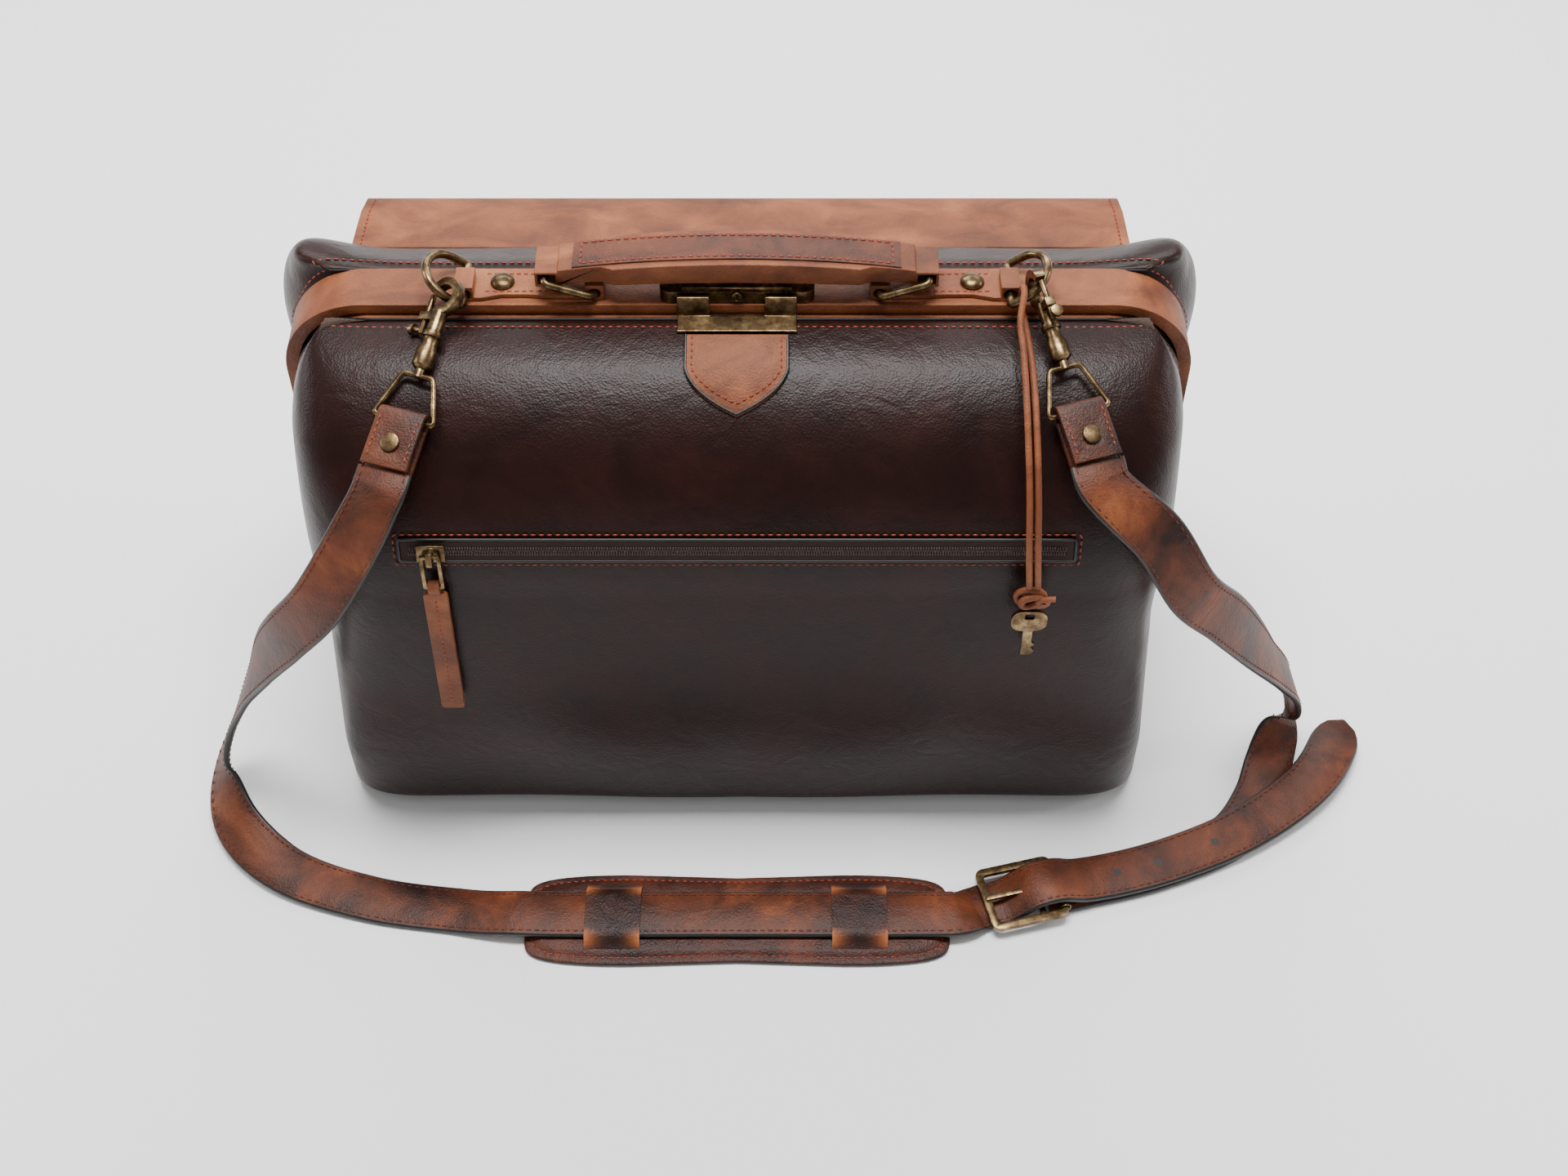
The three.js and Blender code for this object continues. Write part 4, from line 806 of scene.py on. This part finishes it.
def make_hide(name, side):
    """One hide as a grid of rows and columns, mirrored about the middle."""
    bm = bmesh.new()
    grid = []
    spread = [-u for u in reversed(HIDE_COLUMNS[1:])] + HIDE_COLUMNS
    for q in HIDE_ROWS:
        line = []
        for u in spread:
            p = hide_point(side, q, abs(u))
            p.y += side * soft_wave(p) * min(q * 2, 1) * min(max(2 - abs(u), 0) * 2, 1)
            p.x = math.copysign(p.x, u) if u else 0
            line.append(bm.verts.new(p * MM))
        grid.append(line)
    for upper, lower in zip(grid, grid[1:]):
        for j in range(len(upper) - 1):
            corners = (upper[j], upper[j + 1], lower[j + 1], lower[j])
            bm.faces.new(corners if side > 0 else corners[::-1])
    bm.normal_update()
    piece = finish_piece(name, bm, [DARK_LEATHER, LINING_CLOTH], None, (), 180)
    wall = piece.modifiers.new("wall", "SOLIDIFY")
    wall.thickness = 1.6 * MM
    wall.offset = -1
    wall.material_offset = 1
    wall.material_offset_rim = 0
    smooth = piece.modifiers.new("smooth", "SUBSURF")
    smooth.levels = smooth.render_levels = 1
    return piece


front_hide = make_hide("front_hide", -1)
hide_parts("front_panel", "body_tub", "lining")
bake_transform(front_hide)
rear_hide = make_hide("rear_hide", 1)
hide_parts("rear_panel")
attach(rear_hide, "bag")


# %% Base of the body
def rounded_plate(name, half_x, half_y, bottom, top, corner, rim, material, body):
    """A flat plate with round corners and a softened rim."""
    bm = bmesh.new()
    size = Matrix.Diagonal((half_x * 2 * MM, half_y * 2 * MM, (top - bottom) * MM, 1))
    bmesh.ops.create_cube(bm, size=1, matrix=Matrix.Translation((0, 0, (bottom + top) / 2 * MM)) @ size)
    upright = [e for e in bm.edges if abs(e.verts[0].co.z - e.verts[1].co.z) > 1e-4]
    bmesh.ops.bevel(bm, geom=upright, offset=corner * MM, segments=10, profile=0.5, affect="EDGES", material=-1)
    edges = [e for e in bm.edges if e.calc_face_angle(0) > 1.0]
    bmesh.ops.bevel(bm, geom=edges, offset=rim * MM, segments=3, profile=0.5, affect="EDGES", material=-1)
    return finish_piece(name, bm, [material], body, (), 40)


base_leather = rounded_plate("base_leather", 214, 95, 0.2, 4.2, 44, 1.8, DARK_LEATHER, "bag")
board = rounded_plate("base_board_panel", 208, 90, 4.6, 7.4, 40, 0.6, BOARD, "bag")
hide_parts("base_board")


# %% [markdown]
# Behind each tucked side lies a fold of leather, so that the bag stays closed where the two hides
# part when the frame opens.

# %% Side folds
def side_fold(side, name):
    """An upright sheet just inside the tucked side, bowed like the fold it hides behind."""
    bm = bmesh.new()
    grid = []
    for i in range(19):
        y = -62 + 5 * i
        line = []
        for j in range(25):
            q = 1 + j / 24 * 0.985
            x, _, z = row_end(-1, q)
            bow = 1 - min(abs(y) / 62, 1) ** 2
            line.append(bm.verts.new(Vector((side * (x - 12 + 9 * bow), y, z)) * MM))
        grid.append(line)
    for a, b in zip(grid, grid[1:]):
        for j in range(24):
            face = (a[j], b[j], b[j + 1], a[j + 1])
            bm.faces.new(face if side < 0 else face[::-1])
    piece = finish_piece(f"side_fold_{name}", bm, [DARK_LEATHER], "bag", (), 180)
    wall = piece.modifiers.new("wall", "SOLIDIFY")
    wall.thickness = 1.2 * MM


side_fold(-1, "left")
side_fold(1, "right")

# %% [markdown]
# Between the frame's arms the bag has a gusset. Shut, it is squeezed to a few millimetres; open, it spreads like a fan.
# It is modelled squeezed.

# %% Gusset fans
FAN_X = 204
FAN_DEPTH = 4


def gusset_fan(side, name):
    bm = bmesh.new()
    columns, rows = 16, 10
    grid = []
    for i in range(columns + 1):
        y = -FAN_DEPTH * i / columns
        crease = 1.6 * math.sin(math.pi * 4 * i / columns)
        grid.append([bm.verts.new(Vector((side * (FAN_X + crease * j / rows), y, 190 + 5 + 69 * j / rows)) * MM)
                     for j in range(rows + 1)])
    for a, b in zip(grid, grid[1:]):
        for j in range(rows):
            bm.faces.new((a[j], a[j + 1], b[j + 1], b[j]))
    bmesh.ops.recalc_face_normals(bm, faces=bm.faces)
    piece = finish_piece(f"gusset_fan_{name}", bm, [DARK_LEATHER], None, (), 180)
    wall = piece.modifiers.new("wall", "SOLIDIFY")
    wall.thickness = 0.8 * MM
    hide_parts(f"side_gusset_{name}")
    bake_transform(piece)


gusset_fan(-1, "left")
gusset_fan(1, "right")

# %% [markdown]
# The front pocket's zip lies in a slot cut in the hide. From below upwards there are the woven tape,
# the two rows of coil, the slot's black-painted edge, and a row of rust stitches around it.

# %% Zip
ZIP_HALF = 165
ZIP_SLOT = 5.6
ZIP_SEAM = 8.6
ZIP_R = 103.9
ZIP_TILT = math.radians(73.5)


def zip_point(x, s, lift):
    """A point s millimetres above the zip's middle line, lifted off the hide."""
    angle = ZIP_TILT - s / ZIP_R
    radius = ZIP_R + lift
    return Vector((x, -radius * math.sin(angle), 190 + radius * math.cos(angle))) * MM


def zip_outward(p):
    return Vector((0, p.y, p.z - HINGE.z)).normalized()


def zip_loop(half_x, half_s, lift, corner=2.0):
    """A closed rounded rectangle round the zip."""
    outline = rounded_outline([(-half_x, -half_s), (half_x, -half_s), (half_x, half_s), (-half_x, half_s)], corner, 4)
    return [zip_point(p.x, p.y, lift) for p in fill_run(outline, 6)]


def blend_front(piece):
    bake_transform(piece)


def zip_strip(name, half_x, half_s, lift, thickness, material):
    """A flat strip lying on the hide, with its sides closed."""
    bm = bmesh.new()
    rows = []
    for i in range(67):
        x = -half_x + 2 * half_x * i / 66
        rows.append([bm.verts.new(zip_point(x, s, h)) for s, h in (
            (-half_s, lift - thickness), (-half_s, lift), (0, lift), (half_s, lift), (half_s, lift - thickness))])
    for a, b in zip(rows, rows[1:]):
        for k in range(4):
            bm.faces.new((a[k], b[k], b[k + 1], a[k + 1]))
    bmesh.ops.recalc_face_normals(bm, faces=bm.faces)
    return finish_piece(name, bm, [material], None, (), 60)


def zip_teeth():
    """Two rows of coil loops, each loop a small stretched ball."""
    seats = []
    count = 2 * 250
    for k in range(count):
        x = -ZIP_HALF + 4 + (2 * ZIP_HALF - 8) * k / (count - 1)
        at = zip_point(x, 1.15 if k % 2 else -1.15, 1.6)
        up = Vector((0, math.cos(ZIP_TILT), math.sin(ZIP_TILT)))
        seats.append((at, up, zip_outward(at)))
    return lay_stitches("zip_teeth", seats, ZIP_COIL, None, 3.0, 1.15)


tape = zip_strip("zip_tape_strip", ZIP_HALF, ZIP_SLOT + 0.3, 1.1, 1.0, ZIP_TAPE)
teeth = zip_teeth()
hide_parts("zip_tape")
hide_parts("zip_coil")
lip = round_tube("zip_slot_edge", zip_loop(ZIP_HALF + 1, ZIP_SLOT + 0.6, 0.9), 0.75 * MM, 8, EDGE_PAINT_AND_HOLE_SHADE, closed=True)
seam_line = zip_loop(ZIP_HALF + 3.5, ZIP_SEAM, 0.45)
zip_seam = lay_stitches("zip_stitches", seats_along(seam_line + seam_line[:1], zip_outward, 4 * MM), RUST_THREAD,
                        None, 2.9, 1.0)
for part in (tape, teeth, lip, zip_seam):
    blend_front(part)

# %% [markdown]
# The hides are sewn to the frame with a row of rust thread close to the frame's edge. The run of the
# row is a line on the hide a few millimetres from its end.

# %% Frame seam stitches
def hide_normal(side, q, u):
    """The hide's outward direction at (q, u)."""
    step = 0.01
    across = hide_point(side, q, min(u + step, 2)) - hide_point(side, q, max(u - step, 0))
    down = hide_point(side, min(q + step, 2), u) - hide_point(side, max(q - step, 0), u)
    normal = across.cross(down).normalized()
    return normal if normal.y * side > 0 or (abs(normal.y) < 0.3 and normal.x > 0) else -normal


def seam_run(side):
    """(q, u) places from the middle of the crown round the corner and down the arm."""
    inset = 0.035 if side < 0 else 0.06
    places = [(inset, i / 60 * 1.9) for i in range(61)]
    places += [(inset + 0.9 * i / 90, 1.9 + 0.06 * min(i / 25, 1)) for i in range(1, 91)]
    return places


def seam_stitches(side, name, body):
    seats = []
    for mirror in (-1, 1):
        points = [hide_point(side, q, u) for q, u in seam_run(side)]
        normals = [hide_normal(side, q, u) for q, u in seam_run(side)]
        carried = 2.0
        for i in range(len(points) - 1):
            length = (points[i + 1] - points[i]).length
            while carried < length:
                at = points[i].lerp(points[i + 1], carried / length) + normals[i] * 0.15
                along = (points[i + 1] - points[i]).normalized()
                flip = Vector((mirror, 1, 1))
                seats.append((at * flip * MM, along * flip, normals[i] * flip))
                carried += 4.0
            carried -= length
    return lay_stitches(name, seats, RUST_THREAD, body, 3.0, 1.1)


front_seam = seam_stitches(-1, "front_seam_stitches", None)
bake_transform(front_seam)
seam_stitches(1, "rear_seam_stitches", "bag")

# %% [markdown]
# The frame's covers are folded strips of tan leather. Their solids have the right shape and only
# need their corners rounded, as leather folded over a bar has no sharp corner.

# %% Frame covers, bars and pins
soften("front_frame_cover", TAN_LEATHER, 2.2, 4)
soften("rear_frame_cover", TAN_LEATHER, 1.9, 4)
for node in ("hinge_pin_left", "hinge_pin_right"):
    soften(node, BRASS, 0.6)
for node in ("front_frame_bar", "rear_frame_bar"):
    frame["nodes"][node].data.materials.clear()
    frame["nodes"][node].data.materials.append(STEEL)

# %% Lock, hasp, buckle and snaps
for node, width in (
    ("lock_case", 1.1), ("lock_slide", 0.5), ("hasp_plate", 0.6), ("lock_cylinder", 0.3),
    ("buckle_frame", 0.9), ("buckle_roller", 0.3), ("buckle_prong", 0.6),
    ("snap_body_left", 0.9), ("snap_body_right", 0.9), ("snap_trigger_left", 0.5), ("snap_trigger_right", 0.5),
    ("strap_rivet_left", 0.5), ("strap_rivet_right", 0.5), ("zip_slider", 0.4), ("zip_ring", 0.4),
    ("key", 0.25),
):
    soften(node, BRASS, width)
for node in ("chape_rivet_left", "chape_rivet_right"):
    soften(node, BRASS, 0.2)


# %% [markdown]
# Rings are bent from round wire. A closed run of points is swept with a circle, which gives the
# true round section that a stamped solid has not.

# %% Wire rings
DECK = 190 + 99.5 + 1 + 5.5 + 0.3
BAR = DECK + 4


def tilted(side, pivot, y, tilt, outline):
    """Place an outline of (u, v) in the plane of a tilted ring, in metres."""
    across = Vector((side * math.cos(math.radians(tilt)), 0, math.sin(math.radians(tilt))))
    origin = Vector((side * pivot, y, BAR))
    return [(origin + across * p.x + Vector((0, 1, 0)) * p.y) * MM for p in outline]


for side, name in ((-1, "left"), (1, "right")):
    square = rounded_outline([(0, -12.8), (25.5, -12.8), (25.5, 12.8), (0, 12.8)], 3.4)
    ring = round_tube(f"handle_ring_{name}_wire", tilted(side, 70, 6.5, 20, fill_run(square)), 2.0 * MM, 14, BRASS,
                      f"handle_ring_{name}", closed=True)
    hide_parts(f"handle_ring_{name}")
    arc = [Vector((8 + 13.8 * math.cos(a), 14.8 * math.sin(a)))
           for a in [math.radians(-90 + 180 * k / 28) for k in range(29)]]
    arc += rounded_outline([(0, 14.8), (0, -14.8)], 0.01, 1)[0:1] + [Vector((0, -14.8))]
    arc = [Vector((0.8, -14.6))] + [Vector((3, -14.8))] + arc[:29] + [Vector((3, 14.8)), Vector((0.8, 14.6)),
                                                                   Vector((0, 13.6)), Vector((0, -13.6))]
    d_wire = round_tube(f"d_ring_{name}_wire", tilted(side, 134, 3, 36, fill_run(arc)), 2.2 * MM, 14, BRASS,
                        f"d_ring_{name}", closed=True)
    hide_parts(f"d_ring_{name}")


# %% Swivel eyes
def snap_place(side):
    """The local frame of a hanging snap: Y points back at the jaw, Z is the strap's face."""
    y = -SNAP_DOWN[side]
    z = (Vector(UP) - y * y.z).normalized()
    x = y.cross(z)
    return ring_contact(side), x, y, z


def swivel_eye(side, name):
    at, x, y, z = snap_place(side)
    corners = rounded_outline([(-8, -42), (-15.7, -65), (15.7, -65), (8, -42)], 2.6)
    points = [(at + x * p.x + y * p.y) * MM for p in fill_run(corners)]
    eye = round_tube(f"swivel_eye_{name}_wire", points, 1.4 * MM, 12, BRASS, f"strap_end_{name}", closed=True)
    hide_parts(f"swivel_eye_{name}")
    bm = bmesh.new()
    bmesh.ops.create_cone(bm, cap_ends=True, segments=20, radius1=2.6 * MM, radius2=2.0 * MM, depth=10 * MM)
    turn = Matrix((x, z * -1, y)).transposed().to_4x4()
    bm.transform(Matrix.Translation((at + y * -38) * MM) @ turn)
    finish_piece(f"swivel_shank_{name}", bm, [BRASS], f"strap_end_{name}", (), 40)


swivel_eye(-1, "left")
swivel_eye(1, "right")

# %% [markdown]
# The handle is a padded strip of tan leather with a darker inlay sewn on top. The grip's solid gives
# its outline; its corners are rounded generously and the inlay follows the arch of its top.

# %% Handle
HANDLE_HALF = 87.3
HANDLE_FOOT = DECK + 10.2


def handle_top(x):
    """Height of the grip's upper face above x, along its arch."""
    t = (x / HANDLE_HALF + 1) / 2
    return HANDLE_FOOT + 8.5 + 2 * 13 * t * (1 - t)


soften("handle", TAN_LEATHER, 2.6, 4)
for node in ("chape_left", "chape_right"):
    soften(node, TAN_LEATHER, 0.7, 3)
for node in ("strap_fold_left", "strap_fold_right"):
    soften(node, STRAP_LEATHER, 0.7, 3)
soften("zip_tab", TAN_LEATHER, 0.7, 3)
soften("shield_tab", TAN_LEATHER, 0.6, 3)
soften("rear_pocket", DARK_LEATHER, 1.2, 3)
soften("back_flap", TAN_LEATHER, 1.0, 3)


def handle_inlay():
    """A thin darker strip on the grip, following the arch."""
    bm = bmesh.new()
    xs = [-80 + 160 * i / 40 for i in range(41)]
    rows = []
    for x in xs:
        z = handle_top(x)
        rows.append([bm.verts.new(Vector((x, 6.5 + y, z + lift)) * MM)
                     for y, lift in ((-9.4, -0.6), (-9.2, 0.9), (-8.4, 1.2), (8.4, 1.2), (9.2, 0.9), (9.4, -0.6))])
    for a, b in zip(rows, rows[1:]):
        for j in range(5):
            bm.faces.new((a[j], b[j], b[j + 1], a[j + 1]))
        bm.faces.new((a[5], b[5], b[0], a[0]))
    bm.faces.new(rows[0])
    bm.faces.new(rows[-1][::-1])
    bmesh.ops.recalc_face_normals(bm, faces=bm.faces)
    finish_piece("handle_inlay", bm, [STRAP_LEATHER], "handle", (), 50)
    loop = []
    for y, order in ((-7.6, 1), (7.6, -1)):
        line = [Vector((x, 6.5 + y, handle_top(x) + 1.25)) * MM for x in xs[1:-1]]
        loop += line[::order]
    loop.append(loop[0])
    lay_stitches("handle_stitches", seats_along(loop, lambda p: Vector((0, 0, 1)), 4 * MM), RUST_THREAD, "handle",
                 3.0, 1.1)


handle_inlay()

# %% [markdown]
# The shoulder pad is a leather pillow with a thin sewn edge. Two bridges of leather cross it and
# hold the strap down. Its top bulges between the seams because of the foam inside.

# %% Shoulder pad
PAD_X, PAD_Y = -2.5, -178
PAD_HALF_X, PAD_HALF_Y = 115.5, 28.5
PAD_FLOOR = 0.25


def pad_outline(angle_share, inset):
    """A point on the pad's waisted outline, drawn in by inset; share runs 0..1 round it."""
    a = 2 * math.pi * angle_share
    c, n = math.cos(a), math.sin(a)
    x = math.copysign(abs(c) ** 0.22, c) * (PAD_HALF_X - inset)
    y = math.copysign(abs(n) ** 0.3, n) * (PAD_HALF_Y - inset)
    waist = 1 - 0.07 * math.cos(math.pi * min(abs(x) / PAD_HALF_X, 1) / 1.1) ** 2
    return x, y * waist


def pad_height(inset):
    """Height of the pad's top at a distance in from its edge."""
    share = min(inset / 10, 1)
    return 2.6 + 2.5 * (share * share * (3 - 2 * share)) - 0.5 * math.exp(-((inset - 4) / 1.2) ** 2)


def make_pad():
    bm = bmesh.new()
    steps = 160
    rings = []
    for inset, z in ((1.2, PAD_FLOOR), (0.2, 0.8), (0, 1.6), (0.3, 2.3)):
        rings.append((inset, z))
    for inset in (1.2, 2.4, 3.2, 4, 4.8, 6, 8, 11, 16, 22):
        rings.append((inset, pad_height(inset)))
    made = [[bm.verts.new(Vector((PAD_X + pad_outline(k / steps, inset)[0], PAD_Y + pad_outline(k / steps, inset)[1], z))
                          * MM) for k in range(steps)] for inset, z in rings]
    for j, (a, b) in enumerate(zip(made, made[1:])):
        for k in range(steps):
            n = (k + 1) % steps
            bm.faces.new((a[k], a[n], b[n], b[k])).material_index = 1 if j < 3 else 0
    bm.faces.new(made[-1])
    bm.faces.new(made[0][::-1]).material_index = 1
    piece = finish_piece("shoulder_pad", bm, [PAD_LEATHER, EDGE_PAINT_AND_HOLE_SHADE], "bag", (), 60)
    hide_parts("strap_pad")
    loop = []
    for k in range(steps + 1):
        x, y = pad_outline(k / steps, 4)
        loop.append(Vector((PAD_X + x, PAD_Y + y, pad_height(4) + 0.1)) * MM)
    thread = lay_stitches("pad_stitches", seats_along(loop, lambda p: Vector((0, 0, 1)), 4 * MM), RUST_THREAD, "bag",
                          2.9, 0.9)
    return piece, thread


BRIDGE_PROFILE = ((-21, 4.2), (-19.5, 5.3), (-17.6, 6.4), (-16.2, 8.4), (-14.4, 10.1), (-10, 10.9), (0, 11.1))


def bridge_leather():
    """Dark leather rubbed pale at its corners, by an attribute on the mesh."""
    material = PAD_LEATHER.copy()
    material.name = "rubbed_bridge_leather"
    tree = material.node_tree
    shader = tree.nodes["Principled BSDF"]
    wear = add_node(tree, "ShaderNodeAttribute", attribute_name="wear")
    rubbed = add_node(tree, "ShaderNodeMix", data_type="RGBA")
    tree.links.new(wear.outputs["Fac"], rubbed.inputs[0])
    dark = add_node(tree, "ShaderNodeMix", data_type="RGBA", blend_type="MULTIPLY")
    dark.inputs[0].default_value = 1
    tree.links.new(shader.inputs["Base Color"].links[0].from_socket, dark.inputs[6])
    dark.inputs[7].default_value = (0.5, 0.45, 0.45, 1)
    tree.links.new(dark.outputs[2], rubbed.inputs[6])
    rubbed.inputs[7].default_value = linear("#b5673a")
    tree.links.new(rubbed.outputs[2], shader.inputs["Base Color"])
    return material


BRIDGE_LEATHER = bridge_leather()


def paint_wear(piece, x):
    """Store how rubbed each point of a bridge is: most at the four corners where it bends down."""
    layer = piece.data.attributes.new("wear", "FLOAT", "POINT")
    for vertex, value in zip(piece.data.vertices, layer.data):
        u = abs(vertex.co.x / MM - x) / 15
        v = abs(vertex.co.y / MM - PAD_Y)
        value.value = min(max(u, 0), 1) ** 3 * math.exp(-((v - 15.5) / 3.4) ** 2) * 0.9


def make_bridge(name, x):
    """A leather strip that rises over the strap, with its edges painted black."""
    bm = bmesh.new()
    profile = list(BRIDGE_PROFILE) + [(-y, z) for y, z in BRIDGE_PROFILE[-2::-1]]
    rows = []
    for k in range(11):
        u = -1 + k / 5
        sag = 0.5 * (1 - u * u)
        rows.append([(bm.verts.new(Vector((x + u * 15, PAD_Y + y, z - sag * (z > 8))) * MM),
                      bm.verts.new(Vector((x + u * 15, PAD_Y + y * 0.985, z - 1.3 - sag * (z > 8))) * MM))
                     for y, z in profile])
    for a, b in zip(rows, rows[1:]):
        for j in range(len(profile) - 1):
            bm.faces.new((a[j][0], b[j][0], b[j + 1][0], a[j + 1][0]))
            bm.faces.new((a[j][1], a[j + 1][1], b[j + 1][1], b[j][1]))
        for j in (0, len(profile) - 1):
            bm.faces.new((a[j][0], a[j][1], b[j][1], b[j][0]))
    for row in (rows[0], rows[-1]):
        for j in range(len(profile) - 1):
            bm.faces.new((row[j][0], row[j][1], row[j + 1][1], row[j + 1][0])).material_index = 1
    bmesh.ops.recalc_face_normals(bm, faces=bm.faces)
    piece = finish_piece(name, bm, [BRIDGE_LEATHER, EDGE_PAINT_AND_HOLE_SHADE], "bag", (), 60)
    paint_wear(piece, x)
    return piece


pad, pad_thread = make_pad()
bridges = [make_bridge("pad_bridge_left", -70), make_bridge("pad_bridge_right", 64)]


# %% [markdown]
# Tan pieces carry a row of stitches just inside their edge, and the shield's cut edge is painted black.
# Each row is a run of points on the piece's own outer face.

# %% Stitches and painted edges of the small leather pieces
def shield_point(x, y, lift=0.0):
    """A point of the shield tab's outer face above (x, y)."""
    radius = 106.3 + lift
    return Vector((x, y, 190 + math.sqrt(radius * radius - y * y))) * MM


def shield_outline(inset):
    """The shield's outline drawn in by inset, from top left round the tip to top right."""
    tip_y, top_y = -62, -24.6
    half = 25 - inset
    run = [(-half, top_y), (-half, tip_y + 20)]
    for k in range(1, 13):
        t = k / 12
        x = -half * (1 - t) ** 2 + 2 * t * (1 - t) * (-half + 3)
        y = (tip_y + 20) * (1 - t) ** 2 + 2 * t * (1 - t) * (tip_y + 8 + inset) + (tip_y + inset * 1.2) * t * t
        run.append((x, y))
    return run + [(-x, y) for x, y in run[-2::-1]]


def outward_of_hinge(p):
    return Vector((0, p.y, p.z - HINGE.z)).normalized()


fine_run = []
for (x0, y0), (x1, y1) in zip(shield_outline(3.2), shield_outline(3.2)[1:]):
    fine_run += [shield_point(x0 + (x1 - x0) * k / 8, y0 + (y1 - y0) * k / 8) for k in range(8)]
lay_stitches("shield_stitches", seats_along(fine_run, outward_of_hinge, 3.6 * MM), RUST_THREAD, "front_frame", 2.7, 0.9)
edge_run = []
for (x0, y0), (x1, y1) in zip(shield_outline(0.2), shield_outline(0.2)[1:]):
    edge_run += [shield_point(x0 + (x1 - x0) * k / 8, y0 + (y1 - y0) * k / 8, -0.9) for k in range(8)]
round_tube("shield_edge", edge_run, 0.85 * MM, 8, EDGE_PAINT_AND_HOLE_SHADE, "front_frame")

PULL_SLOPE = math.radians(5)
PULL_DOWN = Vector((0, -math.sin(PULL_SLOPE), -math.cos(PULL_SLOPE)))
PULL_OUT = Vector((0, -math.cos(PULL_SLOPE), math.sin(PULL_SLOPE)))


def pull_point(x, down, out):
    """A point of the zip's leather pull, from its ring's pivot."""
    radius = 103 + 0.3 + 1.2 + 0.3 + 1.5 + 0.3 + 4.6
    pivot = Vector((-150, -radius * math.sin(ZIP_TILT), 190 + radius * math.cos(ZIP_TILT)))
    return (pivot + Vector((x, 0, 0)) + PULL_DOWN * down + PULL_OUT * out) * MM


pull_line = [pull_point(0, d, 1.62) for d in range(28, 106, 2)]
lay_stitches("pull_stitches", seats_along(pull_line, lambda p: PULL_OUT, 3.4 * MM), RUST_THREAD, "zip_tab", 2.5, 0.9)

for side, name in ((-1, "left"), (1, "right")):
    chape_rows = []
    for edge in (-1, 1):
        row = [Vector((side * x, 6.5 + edge * (6.4 if x < 80 or x > 104 else 6.2), DECK + 2.35)) * MM
               for x in range(78, 127, 4)]
        chape_rows += seats_along(row, lambda p: Vector((0, 0, 1)), 3.6 * MM)
    lay_stitches(f"chape_stitches_{name}", chape_rows, RUST_THREAD, "bag", 2.6, 0.9)
    at, x, y, z = snap_place(side)
    fold_rows = []
    for edge in (-1, 1):
        row = [(at + x * (edge * 9.6) + y * -d + z * 4.95) * MM for d in range(66, 90, 3)]
        fold_rows += seats_along(row, lambda p: z, 3.6 * MM)
    lay_stitches(f"fold_stitches_{name}", fold_rows, RUST_THREAD, f"strap_end_{name}", 2.6, 0.9)

flap_rows = []
low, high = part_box("back_flap")
for edge in (-1, 1):
    x = edge * (high.x - 0.005)
    row = [Vector((x, 0.0835, 0.2565)), Vector((x, high.y - 0.020, 0.2518)), Vector((x, high.y - 0.0004, 0.2448))]
    for a, b in zip(row, row[1:]):
        up = Vector((0, -(b - a).z, (b - a).y)).normalized()
        flap_rows += seats_along([a, b], lambda p: up, 4 * MM)
    fall = [Vector((x, high.y + 0.0001, z)) for z in (0.243, low.z + 0.004)]
    flap_rows += seats_along(fall, lambda p: Vector((0, 1, 0)), 4 * MM)
hem = [Vector((sx * (high.x - 0.005), high.y + 0.0001, low.z + 0.005)) for sx in (-1, 1)]
flap_rows += seats_along(hem, lambda p: Vector((0, 1, 0)), 4 * MM)
lay_stitches("flap_stitches", flap_rows, RUST_THREAD, "back_flap", 2.9, 1.0)

# %% Painted edges along the frame seams
for side, name in ((-1, "front"), (1, "rear")):
    line = [hide_point(side, 0.0, u / 30) for u in range(61)] + [hide_point(side, q / 60, 2) for q in range(1, 56)]
    points = [Vector((-p.x, p.y, p.z)) * MM for p in reversed(line[1:])] + [p * MM for p in line]
    edge = round_tube(f"{name}_seam_edge", points, 0.8 * MM, 6, EDGE_PAINT_AND_HOLE_SHADE, "bag" if side > 0 else None)
    if side < 0:
        blend_front(edge)

# %% End
print("done")
